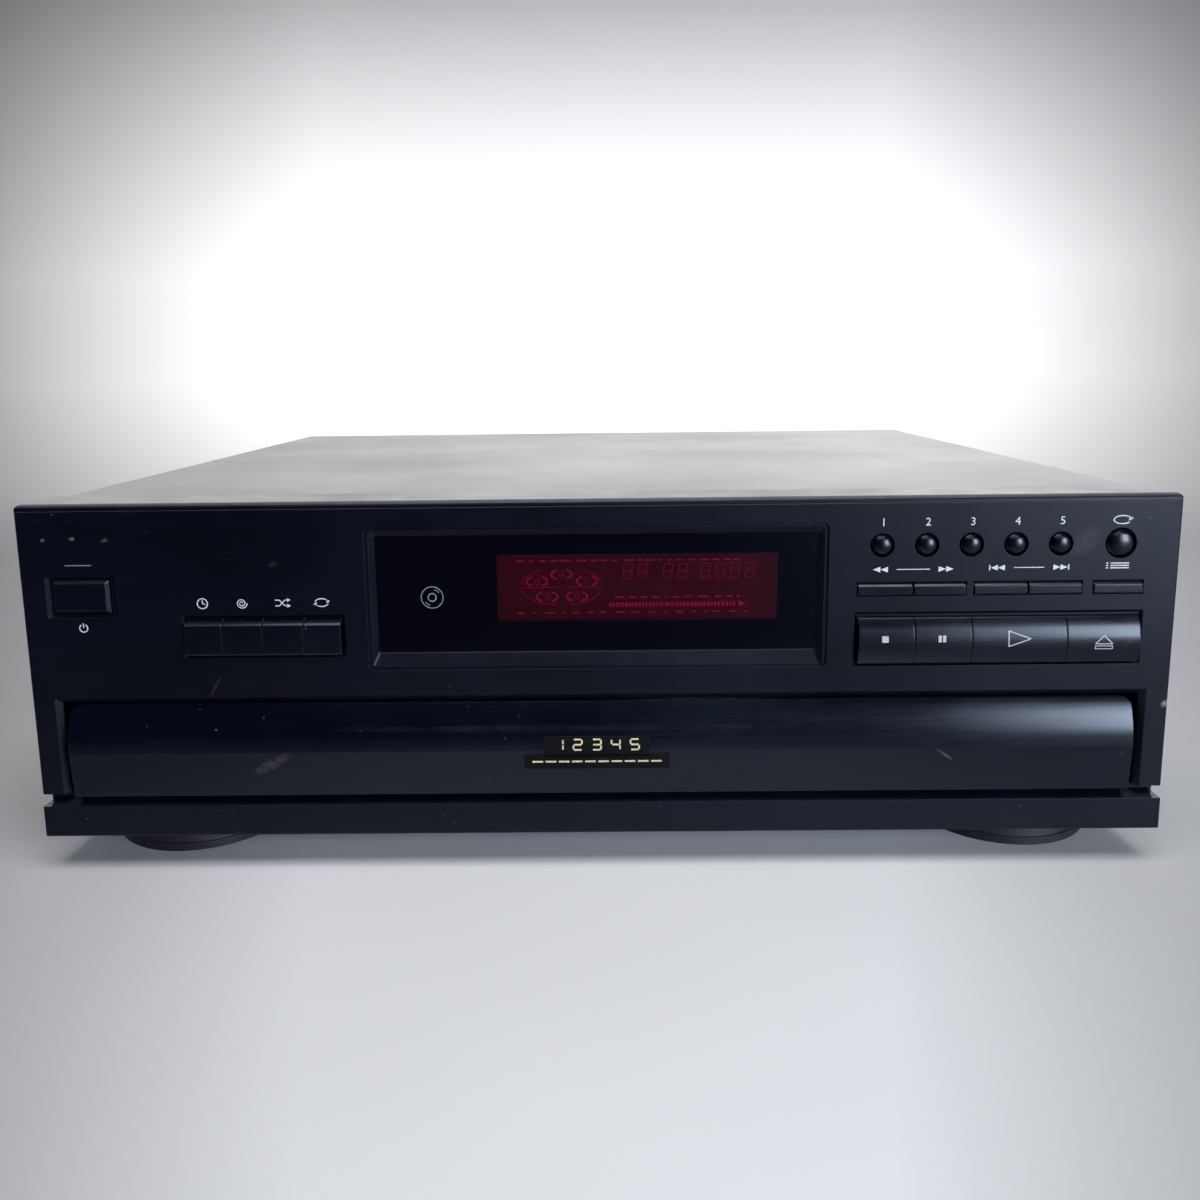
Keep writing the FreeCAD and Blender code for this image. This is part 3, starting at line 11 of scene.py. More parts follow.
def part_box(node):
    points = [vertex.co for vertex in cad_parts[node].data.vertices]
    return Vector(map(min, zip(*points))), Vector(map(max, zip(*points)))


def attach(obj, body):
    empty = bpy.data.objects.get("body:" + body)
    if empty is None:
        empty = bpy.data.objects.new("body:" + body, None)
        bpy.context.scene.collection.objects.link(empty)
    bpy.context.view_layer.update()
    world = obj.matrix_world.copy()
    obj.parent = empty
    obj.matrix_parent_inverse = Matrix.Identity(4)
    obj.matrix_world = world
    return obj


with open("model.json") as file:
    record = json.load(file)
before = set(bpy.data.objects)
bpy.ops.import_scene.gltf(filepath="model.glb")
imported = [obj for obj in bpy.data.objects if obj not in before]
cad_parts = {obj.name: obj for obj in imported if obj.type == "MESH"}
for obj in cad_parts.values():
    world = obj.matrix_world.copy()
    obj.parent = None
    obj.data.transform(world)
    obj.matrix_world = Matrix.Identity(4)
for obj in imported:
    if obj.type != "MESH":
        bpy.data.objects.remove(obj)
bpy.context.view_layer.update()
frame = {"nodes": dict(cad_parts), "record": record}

MM = 0.001

# ---- places on the object, in millimetres in the frame's own axes ----
PANEL_RETURN = 24.0                                # the panel's sides reach back this far, to the cover
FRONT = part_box("top_cover")[0][1] / MM - PANEL_RETURN                         # plane of the front panel
CASE_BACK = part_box("top_cover")[1][1] / MM
CASE_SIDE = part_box("top_cover")[1][0] / MM
TUBE_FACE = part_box("display_tube")[0][1] / MM
WINDOW_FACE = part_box("display_window")[0][1] / MM
DRAWER_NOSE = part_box("drawer_front")[0][1] / MM
DRAWER_NOSE_Z = 48.6                               # height at which the drawer front stands out most
DRAWER_LEAN = 1.5 / 17.6                           # its slope below the nose
DRAWER_CURVE_DEPTH = 5.0                           # above the nose it curves back by this much,
DRAWER_CURVE_HEIGHT = 17.7                         # over this height
TRANSPORT_CURVE = ((-1.0, 81.0), (-2.6, 88.2), (0.3, 98.2))    # barrel face: Y from the panel, and Z
DISC_KEYS = ["disc_key_%d" % (i + 1) for i in range(5)]
MODE_KEYS = ["mode_key_%d" % (i + 1) for i in range(4)]
REAR_SCREWS = ((-206, 22), (-206, 134), (206, 22), (206, 134), (0, 134))      # X and Z
SIDE_SCREWS = ((-120, 24), (140, 24))              # Y and Z
SCREW_HEAD_REAR = 1.6                              # height of the heads over the panel
SCREW_HEAD_SIDE = 0.7
JACKS = ((150, 62), (164, 62))                     # X and Z
CAROUSEL_HUB_RISE = 1.2                            # hub's top over the raised middle
DISC_ONE_ANGLE = 162.0                             # disc place 1, in degrees from +X

# ---- printed marks, in millimetres ----
PRINT_LIFT = 0.04                                  # ink stands this far off its surface
PRINT_THICK = 0.03
ROW_HEIGHT = 0.8                                   # marks are cut into rows no higher than this
SAME_HEIGHT = 2e-5                                 # points closer in height than this are level
SHORTEST_EDGE = 1e-4
STROKE = 0.42                                      # width of the lines in the panel's signs
ICON_STROKE = 0.4                                  # and in the icons over the mode keys
DISC_NUMBER_Z = 134.2
DISC_NUMBER_SIZE = 4.2
DISC_SKIP_Z = 134.4
SEARCH_ARROWS_Z = 116.6
SKIP_ARROWS_Z = 116.9
ARROW_HEIGHT = 2.1
PROGRAM_LINES_Z = (116.2, 117.1, 118.0)
POWER_SIGN_Z = 97.2
POWER_RULE_Z = (121.0, 121.35)
MODE_ICON_Z = 106.2
STOP_PAUSE_Z = (89.4, 91.8)
DISPLAY_RED = (-37.2, 67.8, 97.5, 122.8)           # filter area with a painted glow: left, right, bottom, top
EMBLEM_PLACE = (-61.8, 107.0)
DRAWER_PLATE_UPPER = (-20.6, 19.5, 46.1, 54.0)     # left, right, bottom, top
DRAWER_PLATE_LOWER = (-28.0, 27.0, 41.2, 47.1)
PLATE_LIFT = 0.32
PLATE_THICK = 0.6
PLATE_INK_LIFT = 0.38
PLATE_INK_THICK = 0.05
COLLAR_LIFT = 0.9                                  # coloured rings round the jacks
COLLAR_THICK = 0.85
CAROUSEL_NUMBER_RADIUS = 34.0

# ---- colours, linear ----
SHEEN_BLUE = (0.84, 0.90, 1.0, 1.0)                # tint of reflections in the blue-black plastics
DUST_AND_SHEEN = (0.30, 0.30, 0.31, 1.0)                     # dust settled on faces that look up; on the panel's top return, a painted reflection

# ---- camera, as solved for the reference view ----
CAMERA_PLACE = (0.005205, -0.557742, 0.193180)
CAMERA_YAW = math.radians(-0.5545)
CAMERA_PITCH = math.radians(9.2584)
CAMERA_ROLL = math.radians(0.6892)
FOCAL_PIXELS = 1016.384
IMAGE_PIXELS = 1200.0
CENTRE_ABOVE = 71.18                               # principal point above the image's middle
SENSOR = 36.0

# ---- stage, in metres ----
SWEEP_HALF = 7.0
SWEEP_FRONT = -6.0
SWEEP_BACK = 2.2
SWEEP_TOP = 2.6
SWEEP_ROUND = 1.2
SWEEP_STEPS = 12                                   # facets of the curve from floor to wall
WALL_GLOW = 1.1                                    # brightness of the wall to the camera
WALL_PAINTED_REFLECTION = (1.7, 2.5)                         # painted reflection: the wall's glow seen only in reflections, left and right
FAN_DEPTH = 0.62                                   # the painted shade on the floor runs along lines that meet this far in front
ROOM_FRONT = (0.006, 0.008, 0.015, 1.0)
ROOM_BACK = (0.35, 0.36, 0.37, 1.0)
ROOM_SEEN = (0.80, 0.81, 0.82, 1.0)
FLOOR_PALE = (0.62, 0.62, 0.63, 1.0)
FLOOR_PALER = (0.68, 0.68, 0.69, 1.0)
# painted light: the floor behind the object is painted paler, where the lamps bring less light
FLOOR_BEHIND_PAINTED_LIGHT = (0.84, 0.84, 0.85, 1.0)
# painted shade: the floor and wall turn grey towards the sides
FLOOR_PAINTED_SHADE = (0.22, 0.22, 0.225, 1.0)
FLOOR_PAINTED_REFLECTION = (0.012, 0.013, 0.016, 1.0)        # painted reflection: what the gloss shows of the floor in front, painted dark
TOP_LIGHT_WATTS = 23.5
SIDE_LIGHT_WATTS = 28.0
SIDE_LIGHT_COLOUR = (0.76, 0.85, 1.0)


# ------------------------------------------------------------ materials ----

class Graph:
    """A material's node tree with short calls for the nodes used here."""

    def __init__(self, name):
        self.material = bpy.data.materials.new(name)
        self.material.use_nodes = True
        self.tree = self.material.node_tree
        self.shader = self.tree.nodes["Principled BSDF"]
        self.place = self.tree.nodes.new("ShaderNodeTexCoord").outputs["Object"]

    def node(self, kind, **settings):
        made = self.tree.nodes.new(kind)
        for key, value in settings.items():
            setattr(made, key, value)
        return made

    def join(self, source, target):
        self.tree.links.new(source, target)

    def put(self, socket, value):
        """Joins another node's output to the socket, or sets the socket's own value."""
        if isinstance(value, bpy.types.NodeSocket):
            self.join(value, socket)
        else:
            socket.default_value = value

    def shade(self, name, value):
        """Puts a value or an output into the shader's input of that name."""
        self.put(self.shader.inputs[name], value)

    def math(self, operation, a, b=0.0, c=0.0):
        made = self.node("ShaderNodeMath", operation=operation)
        for socket, value in zip(made.inputs, (a, b, c)):
            self.put(socket, value)
        return made.outputs[0]

    def product(self, *factors):
        """Output that is the product of two or more values."""
        result = factors[0]
        for factor in factors[1:]:
            result = self.math("MULTIPLY", result, factor)
        return result

    def noise(self, scale, detail=3.0, rough=0.55, stretch=(1, 1, 1), distortion=0.0):
        mapping = self.node("ShaderNodeMapping")
        mapping.inputs["Scale"].default_value = stretch
        self.join(self.place, mapping.inputs["Vector"])
        made = self.node("ShaderNodeTexNoise")
        self.join(mapping.outputs[0], made.inputs["Vector"])
        made.inputs["Scale"].default_value = scale
        made.inputs["Detail"].default_value = detail
        made.inputs["Roughness"].default_value = rough
        made.inputs["Distortion"].default_value = distortion
        return made.outputs["Fac"]

    def ramp(self, value, low, high, out_low=0.0, out_high=1.0):
        """Straight ramp from out_low at low to out_high at high, level beyond both."""
        made = self.node("ShaderNodeMapRange")
        self.join(value, made.inputs["Value"])
        made.inputs["From Min"].default_value = low
        made.inputs["From Max"].default_value = high
        made.inputs["To Min"].default_value = out_low
        made.inputs["To Max"].default_value = out_high
        return made.outputs[0]

    def mix(self, factor, a, b):
        """Colour between a and b."""
        made = self.node("ShaderNodeMix", data_type="RGBA")
        self.put(made.inputs["Factor"], factor)
        colour_a, colour_b = made.inputs[6], made.inputs[7]
        self.put(colour_a, a)
        self.put(colour_b, b)
        return made.outputs[2]

    def axis(self, name):
        made = self.node("ShaderNodeSeparateXYZ")
        self.join(self.place, made.inputs[0])
        return made.outputs[name]

    def upward(self):
        """1 on faces that look up, 0 on walls and undersides."""
        split = self.node("ShaderNodeSeparateXYZ")
        self.join(self.node("ShaderNodeNewGeometry").outputs["Normal"], split.inputs[0])
        return self.ramp(split.outputs["Z"], 0.5, 0.95)

    def bump(self, height, distance, strength=1.0, rounded=0.0):
        """Relief from a height; rounded softens the edges' shading by that radius."""
        made = self.node("ShaderNodeBump")
        made.inputs["Distance"].default_value = distance
        made.inputs["Strength"].default_value = strength
        self.join(height, made.inputs["Height"])
        if rounded:
            bevel = self.node("ShaderNodeBevel", samples=6)
            bevel.inputs["Radius"].default_value = rounded
            self.join(bevel.outputs[0], made.inputs["Normal"])
        self.join(made.outputs[0], self.shader.inputs["Normal"])

    def patch(self, rub):
        """1 in the middle of an ellipse on the front, falling to 0 at its edge: a rubbed place, or the
        drawer's painted highlight band.
        """
        c, s = math.cos(math.radians(rub.turn)), math.sin(math.radians(rub.turn))
        dx = self.math("SUBTRACT", self.axis("X"), rub.x * MM)
        dz = self.math("SUBTRACT", self.axis("Z"), rub.z * MM)
        along = self.math("ADD", self.product(dx, c), self.product(dz, s))
        across = self.math("SUBTRACT", self.product(dz, c), self.product(dx, s))
        along = self.math("POWER", self.math("DIVIDE", along, rub.half_x * MM), 2.0)
        across = self.math("POWER", self.math("DIVIDE", across, rub.half_z * MM), 2.0)
        return self.math("SUBTRACT", 1.0, self.math("MINIMUM", 1.0, self.math("ADD", along, across)))


# A rubbed place, or a painted highlight laid out the same way: middle and half sizes in mm, turn in
# degrees, strength, and scale of its grain.
Rub = namedtuple("Rub", "x z half_x half_z turn amount scale")


def rgb(r, g, b):
    """Colour given as 0 to 255 display values, made linear."""
    def linear(value):
        value /= 255.0
        return value / 12.92 if value <= 0.04045 else ((value + 0.055) / 1.055) ** 2.4
    return (linear(r), linear(g), linear(b), 1.0)


def scaled(colour, factor):
    """The colour made darker or lighter by a factor."""
    return tuple(min(1.0, c * factor) for c in colour[:3]) + (1.0,)


def moulded(name, colour, roughness, hairline=0.0, grain=0.0, specular=0.5, rounded=0.0003,
            dust=0.05, dust_and_sheen_above=0.0, rubs=()):
    """Moulded plastic with hairline or fine grain, uneven sheen, specks, settled dust and rubbed places;
    strong dust on the panel's top return is a painted reflection, and one long rubbed band on the drawer is
    a painted highlight.
    """
    g = Graph(name)
    colour = rgb(*colour)
    worn_and_sheen = rgb(150, 145, 140)
    cloud = g.noise(14.0, 4.0, 0.6)
    fine = g.noise(2600.0, 2.0, 0.5)
    lines = g.noise(1.0, 3.0, 0.6, stretch=(60.0, 60.0, 2600.0))
    base = g.mix(g.ramp(cloud, 0.3, 0.7), scaled(colour, 0.72), scaled(colour, 1.35))
    if hairline:
        streak = tuple(c * 2.4 + 0.002 for c in colour[:3]) + (1.0,)
        base = g.mix(g.ramp(lines, 0.45, 0.8, 0.0, hairline), base, streak)
    speck = g.ramp(g.noise(760.0, 2.0, 0.5), 0.76, 0.79, 0.0, 0.3)
    base = g.mix(speck, base, worn_and_sheen)
    # Dust on faces that look up: faint settled dust by default; the strong setting on the panel's top
    # return is a painted reflection.
    uneven = g.ramp(g.noise(240.0, 5.0, 0.7), 0.3, 0.7, 0.6 * dust, dust)
    dust_and_sheen = g.product(g.upward(), uneven, g.ramp(g.axis("Z"), dust_and_sheen_above, dust_and_sheen_above + 0.003))
    base = g.mix(dust_and_sheen, base, DUST_AND_SHEEN)
    rough = g.math("ADD", roughness, g.ramp(cloud, 0.3, 0.7, -0.05, 0.06))
    rough = g.math("ADD", rough, g.ramp(lines if hairline else fine, 0.3, 0.7, -0.03, 0.03))
    # Rubbed places lighten towards the worn colour; the drawer's long band among them is a painted
    # highlight.
    for rub in rubs:
        grain_of_rub = g.ramp(g.noise(rub.scale, 5.0, 0.7, stretch=(1.0, 1.0, 1.6)), 0.3, 0.72)
        rub_and_sheen_mask = g.product(g.patch(rub), grain_of_rub, rub.amount)
        base = g.mix(rub_and_sheen_mask, base, worn_and_sheen)
        rough = g.math("ADD", rough, g.product(rub_and_sheen_mask, 0.3))
    g.shade("Base Color", base)
    g.shade("Roughness", rough)
    g.shade("Specular IOR Level", specular)
    if hairline:
        g.shade("Specular Tint", SHEEN_BLUE)
    height = g.math("ADD", g.product(lines, 2.0 * hairline), g.product(fine, grain))
    g.bump(height, 0.00004, 0.6, rounded)
    return g.material


def painted_steel():
    """Satin powder coat of the cover: fine orange peel, dust and faint rubs."""
    g = Graph("cover_paint")
    cloud = g.noise(9.0, 4.0, 0.6)
    peel = g.noise(900.0, 2.0, 0.5)
    dust = g.ramp(g.noise(260.0, 3.0, 0.6), 0.66, 0.74, 0.0, 0.35)
    base = g.mix(g.ramp(cloud, 0.3, 0.7), rgb(44, 46, 50), rgb(56, 58, 62))
    g.shade("Base Color", g.mix(dust, base, rgb(120, 118, 114)))
    g.shade("Roughness", g.math("ADD", g.ramp(cloud, 0.3, 0.7, 0.36, 0.44), g.product(dust, 0.3)))
    g.shade("Specular IOR Level", 0.6)
    g.bump(peel, 0.00003, 0.5, 0.0004)
    return g.material


def metal(name, colour, roughness, brushed=(1.0, 1.0, 1.0), scale=300.0, spangle=0.0):
    """Bare or plated metal with a direction of rolling and slight staining."""
    g = Graph(name)
    colour = rgb(*colour)
    darker = scaled(colour, 0.78)
    cloud = g.noise(18.0, 4.0, 0.6)
    lines = g.noise(scale, 3.0, 0.6, stretch=brushed)
    base = g.mix(g.ramp(cloud, 0.3, 0.7), darker, colour)
    if spangle:
        cells = g.node("ShaderNodeTexVoronoi")
        cells.inputs["Scale"].default_value = spangle
        g.join(g.place, cells.inputs["Vector"])
        split = g.node("ShaderNodeSeparateColor")
        g.join(cells.outputs["Color"], split.inputs[0])
        base = g.mix(g.ramp(split.outputs[0], 0.0, 1.0, 0.0, 0.35), base, darker)
    g.shade("Base Color", base)
    g.shade("Metallic", 1.0)
    g.shade("Roughness", g.math("ADD", roughness, g.ramp(lines, 0.3, 0.7, -0.07, 0.09)))
    g.bump(lines, 0.00002, 0.5, 0.0003)
    return g.material


def smoked_window():
    """Acrylic window: clear and smoky over the display, printed black behind elsewhere."""
    g = Graph("window_acrylic")
    left, right, low, high = [value * MM for value in DISPLAY_RED]
    soft = 0.00001
    inside = g.product(
        g.ramp(g.axis("X"), left - soft, left + soft),
        g.ramp(g.axis("X"), right + soft, right - soft),
        g.ramp(g.axis("Z"), low - soft, low + soft),
        g.ramp(g.axis("Z"), high + soft, high - soft),
    )
    smear = g.noise(22.0, 5.0, 0.65, stretch=(1.0, 1.0, 2.2), distortion=0.6)
    g.shade("Base Color", g.mix(inside, rgb(0, 1, 9), rgb(214, 120, 150)))
    g.shade("Transmission Weight", inside)
    g.shade("Roughness", g.ramp(smear, 0.35, 0.75, 0.03, 0.16))
    g.shade("IOR", 1.49)
    g.shade("Specular IOR Level", 0.35)
    g.bump(g.noise(40.0, 2.0, 0.5), 0.00001, 0.3)
    return g.material


def display_filter():
    """Deep red filter with the weave of the display's fine grid, and a painted glow."""
    g = Graph("display_glass")
    grid = g.node("ShaderNodeTexBrick")
    mapping = g.node("ShaderNodeMapping")
    mapping.inputs["Rotation"].default_value = (math.radians(90), 0, 0)
    g.join(g.place, mapping.inputs["Vector"])
    g.join(mapping.outputs[0], grid.inputs["Vector"])
    grid.inputs["Scale"].default_value = 900.0
    grid.inputs["Color1"].default_value = rgb(54, 4, 36)
    grid.inputs["Color2"].default_value = rgb(45, 3, 30)
    grid.inputs["Mortar"].default_value = rgb(31, 2, 21)
    g.shade("Base Color", grid.outputs["Color"])
    # Painted glow: the filter is no lamp; its emission stands in for light through the window.
    g.shade("Emission Color", grid.outputs["Color"])
    g.shade("Emission Strength", 0.7)
    g.shade("Roughness", 0.3)
    return g.material


def ink(name, colour, glow=0.0):
    """Screen-printed ink: slightly uneven, with small losses; a glow, where given, is painted."""
    g = Graph(name)
    colour = rgb(*colour)
    base = g.mix(g.ramp(g.noise(900.0, 4.0, 0.7), 0.35, 0.65), scaled(colour, 0.7), colour)
    g.shade("Base Color", base)
    g.shade("Roughness", g.ramp(g.noise(500.0), 0.3, 0.7, 0.45, 0.65))
    # Painted glow, used only for the display's pattern.
    if glow:
        g.shade("Emission Color", base)
        g.shade("Emission Strength", glow)
    return g.material


def board_laminate():
    """Brown paper laminate of the circuit boards, with its weave."""
    g = Graph("board_laminate")
    cloud = g.noise(60.0, 4.0, 0.6)
    weave = g.noise(1400.0, 2.0, 0.5, stretch=(1.0, 1.0, 0.2))
    g.shade("Base Color", g.mix(g.ramp(cloud, 0.3, 0.7), rgb(150, 104, 52), rgb(176, 128, 70)))
    g.shade("Roughness", g.ramp(weave, 0.3, 0.7, 0.4, 0.6))
    g.bump(weave, 0.00003, 0.5, 0.0002)
    return g.material


def panel_plastic():
    """Blue-black front panel with a fine hairline, the marks of use and a painted reflection on its top
    return.
    """
    rubs = [
        Rub(214.0, 64.0, 2.2, 1.6, 30.0, 0.8, 300.0),
        Rub(180.0, 126.5, 8.0, 5.0, 45.0, 0.09, 500.0),
        Rub(-205.0, 130.8, 1.0, 0.8, 0.0, 0.5, 900.0),
        Rub(-194.0, 131.2, 1.2, 0.9, 0.0, 0.6, 900.0),
        Rub(-182.0, 130.6, 1.8, 0.8, 20.0, 0.35, 900.0),
        Rub(-120.0, 121.0, 1.8, 1.2, 30.0, 0.10, 900.0),
        Rub(-145.0, 73.5, 6.0, 0.7, 60.0, 0.08, 400.0),
    ]
    # Strong dust on upward faces above 136 mm is a painted reflection on the panel's top return.
    return moulded("panel_plastic", (2, 4, 15), 0.40, hairline=0.4, specular=0.24, dust=0.36,
                   dust_and_sheen_above=0.136, rubs=rubs)


def drawer_plastic():
    """Glossier plastic of the drawer front, with two scuffs and a faint pale band across its upper curve, a
    painted highlight.
    """
    rubs = [
        Rub(-124.0, 44.0, 9.0, 2.6, 28.0, 0.16, 500.0),
        Rub(131.0, 45.6, 4.5, 0.6, -35.0, 0.5, 300.0),
        # painted highlight: a long faint pale band across the drawer's upper curve
        Rub(-20.0, 57.0, 90.0, 1.6, 0.0, 0.03, 90.0),
    ]
    return moulded("drawer_plastic", (3, 6, 17), 0.22, hairline=0.2, specular=0.36, rubs=rubs)


def dress_frame():
    """Gives each node of the frame the material of its slot."""
    materials = {
        "panel_plastic": panel_plastic(),
        "drawer_plastic": drawer_plastic(),
        "key_plastic": moulded("key_plastic", (2, 4, 15), 0.26, hairline=0.12, specular=0.42,
                               rounded=0.0007),
        "window_acrylic": smoked_window(),
        "display_glass": display_filter(),
        "cover_paint": painted_steel(),
        "zinc_steel": metal("zinc_steel", (186, 188, 190), 0.36, spangle=70.0),
        "screw_steel": metal("screw_steel", (70, 70, 74), 0.35, scale=1200.0),
        "foot_plastic": moulded("foot_plastic", (17, 18, 23), 0.55, grain=1.0),
        "tray_plastic": moulded("tray_plastic", (36, 37, 42), 0.50, grain=1.0),
        "carousel_plastic": moulded("carousel_plastic", (42, 43, 49), 0.48, grain=1.0),
        "gear_plastic": moulded("gear_plastic", (222, 219, 206), 0.42, grain=0.3),
        "motor_steel": metal("motor_steel", (190, 190, 192), 0.30, brushed=(1.0, 1.0, 30.0)),
        "belt_rubber": moulded("belt_rubber", (20, 20, 21), 0.75, grain=1.0),
        "board_laminate": board_laminate(),
        "transformer_iron": metal("transformer_iron", (92, 86, 80), 0.5, brushed=(1.0, 60.0, 1.0),
                                  scale=60.0),
        "jack_plastic": moulded("jack_plastic", (24, 24, 26), 0.35, grain=0.3),
        "pickup_plastic": moulded("pickup_plastic", (30, 30, 33), 0.45, grain=0.6),
        "rod_steel": metal("rod_steel", (205, 205, 208), 0.16, brushed=(30.0, 1.0, 30.0)),
    }
    slot_of = {part["node"]: part["material_slot"] for part in frame["record"]["subparts"]}
    for name, node in frame["nodes"].items():
        node.data.materials.clear()
        node.data.materials.append(materials[slot_of[name]])


# ------------------------------------------------------- thin solids ----

def add_piece(name, data, body, material):
    """Puts a mesh in the scene as a piece that rides its body."""
    data.materials.clear()
    data.materials.append(material)
    piece = bpy.data.objects.new(name, data)
    bpy.context.scene.collection.objects.link(piece)
    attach(piece, body)


def row_levels(shape):
    """Heights at which a shape is cut into rows: those of its corners, and steps between them."""
    stops = sorted({round(point[1], 5) for point in shape})
    levels = stops[:1]
    for low, high in zip(stops, stops[1:]):
        rows = max(1, math.ceil((high - low) / ROW_HEIGHT))
        levels += [low + (high - low) * (i + 1) / rows for i in range(rows)]
    return levels


def width_at(shape, z):
    """Left and right ends of a convex shape at a height."""
    hits = []
    for (xa, za), (xb, zb) in zip(shape, shape[1:] + shape[:1]):
        if abs(za - zb) < SAME_HEIGHT:
            if abs(z - za) < SAME_HEIGHT:
                hits += [xa, xb]
        elif min(za, zb) - SAME_HEIGHT <= z <= max(za, zb) + SAME_HEIGHT:
            share = min(1.0, max(0.0, (z - za) / (zb - za)))
            hits.append(xa + (xb - xa) * share)
    return min(hits), max(hits)


def cells_of(shape):
    """Low quads that cover a convex shape given as X and Z points, so that ink bends with its face."""
    levels = row_levels(shape)
    cells = []
    for za, zb in zip(levels, levels[1:]):
        (a0, a1), (b0, b1) = width_at(shape, za), width_at(shape, zb)
        corners = [(a0, za), (a1, za), (b1, zb), (b0, zb)]
        cell = [p for i, p in enumerate(corners) if math.dist(p, corners[i - 1]) > SHORTEST_EDGE]
        if len(cell) > 2:
            cells.append(cell)
    return cells


def thin_solids(name, shapes, body, material, place, lift=PRINT_LIFT, thick=PRINT_THICK):
    """Closed thin solids, one for each convex shape; place(a, b, rise) gives X, Y and Z in mm."""
    mesh = bmesh.new()
    for shape in shapes:
        for cell in cells_of(shape):
            front = [mesh.verts.new(Vector(place(a, b, lift)) * MM) for a, b in cell]
            back = [mesh.verts.new(Vector(place(a, b, lift - thick)) * MM) for a, b in cell]
            mesh.faces.new(front)
            mesh.faces.new(back[::-1])
            for i in range(len(cell)):
                j = (i + 1) % len(cell)
                mesh.faces.new((front[j], front[i], back[i], back[j]))
    bmesh.ops.recalc_face_normals(mesh, faces=mesh.faces)
    data = bpy.data.meshes.new(name)
    mesh.to_mesh(data)
    mesh.free()
    add_piece(name, data, body, material)


def printed(name, shapes, body, material, face, lift=PRINT_LIFT, thick=PRINT_THICK):
    """Ink or a thin plate that looks forwards; face is its plane's Y, or gives Y from the height."""
    def place(x, z, rise):
        y = face(z) if callable(face) else face
        return x, y - rise, z
    thin_solids(name, shapes, body, material, place, lift, thick)


# --------------------------------------------------- shapes of the marks ----

def bar(x0, x1, z0, z1):
    """Rectangle with level edges."""
    return [(x0, z0), (x1, z0), (x1, z1), (x0, z1)]


def line(xa, za, xb, zb, width):
    """Straight stroke between two points."""
    length = math.hypot(xb - xa, zb - za)
    nx, nz = -(zb - za) / length * width / 2, (xb - xa) / length * width / 2
    return [(xa + nx, za + nz), (xa - nx, za - nz), (xb - nx, zb - nz), (xb + nx, zb + nz)]


def outline(corners, width):
    """Strokes along a closed outline."""
    return [line(*a, *b, width) for a, b in zip(corners, corners[1:] + corners[:1])]


def arc(x, z, radius_x, radius_z, start, end, width, steps=24):
    """Quads of an elliptical stroke; angles in degrees from +X towards +Z."""
    quads = []
    for i in range(steps):
        a = math.radians(start + (end - start) * i / steps)
        b = math.radians(start + (end - start) * (i + 1) / steps)
        inner_x, inner_z = radius_x - width / 2, radius_z - width / 2
        outer_x, outer_z = radius_x + width / 2, radius_z + width / 2
        quads.append([(x + inner_x * math.cos(a), z + inner_z * math.sin(a)),
                      (x + outer_x * math.cos(a), z + outer_z * math.sin(a)),
                      (x + outer_x * math.cos(b), z + outer_z * math.sin(b)),
                      (x + inner_x * math.cos(b), z + inner_z * math.sin(b))])
    return quads


def ring(x, z, radius, width, steps=24):
    """Quads of a round stroke."""
    return arc(x, z, radius, radius, 0, 360, width, steps)


def wedge(x, z, width, height, side=1):
    """Solid triangle that points to +X, or to -X with side -1; x is the middle."""
    tip = x + side * width / 2
    base = x - side * width / 2
    return [(base, z - height / 2), (tip, z), (base, z + height / 2)]


SEGMENTS = {"1": "bc", "2": "abged", "3": "abgcd", "4": "fgbc", "5": "afgcd", "8": "abcdefg"}
SEGMENT_ENDS = {"a": ((-1, 1), (1, 1)), "b": ((1, 1), (1, 0)), "c": ((1, 0), (1, -1)),
                "d": ((-1, -1), (1, -1)), "e": ((-1, 0), (-1, -1)), "f": ((-1, 1), (-1, 0)),
                "g": ((-1, 0), (1, 0))}


def segment_digit(digit, x, z, width, height, stroke, lean=0.0):
    """Seven-segment digit with its middle at x and z."""
    def spot(i, j):
        dz = j * height / 2
        return x + i * width / 2 + dz * lean, z + dz
    gap = stroke * 0.35
    shapes = []
    for letter in SEGMENTS[digit]:
        start, end = SEGMENT_ENDS[letter]
        (xa, za), (xb, zb) = spot(*start), spot(*end)
        length = math.hypot(xb - xa, zb - za)
        ux, uz = (xb - xa) / length * gap, (zb - za) / length * gap
        shapes.append(line(xa + ux, za + uz, xb - ux, zb - uz, stroke))
    return shapes


# -------------------------------------------------------- front panel ----

def transport_face(z):
    """Y, in mm, of the barrel face of the large keys: a circle through three known points."""
    (y1, z1), (y2, z2), (y3, z3) = [(FRONT + y, height) for y, height in TRANSPORT_CURVE]
    a = 2 * ((y2 - y1) * (z3 - z1) - (y3 - y1) * (z2 - z1))
    s2 = (y2 - y1) ** 2 + (z2 - z1) ** 2
    s3 = (y3 - y1) ** 2 + (z3 - z1) ** 2
    mid_y = y1 + ((z3 - z1) * s2 - (z2 - z1) * s3) / a
    mid_z = z1 + ((y2 - y1) * s3 - (y3 - y1) * s2) / a
    radius = math.hypot(y1 - mid_y, z1 - mid_z)
    return mid_y - math.sqrt(radius ** 2 - (z - mid_z) ** 2)


def key_middle(node):
    """X, in mm, of a key's middle."""
    low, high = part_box(node)
    return (low[0] + high[0]) / 2 / MM


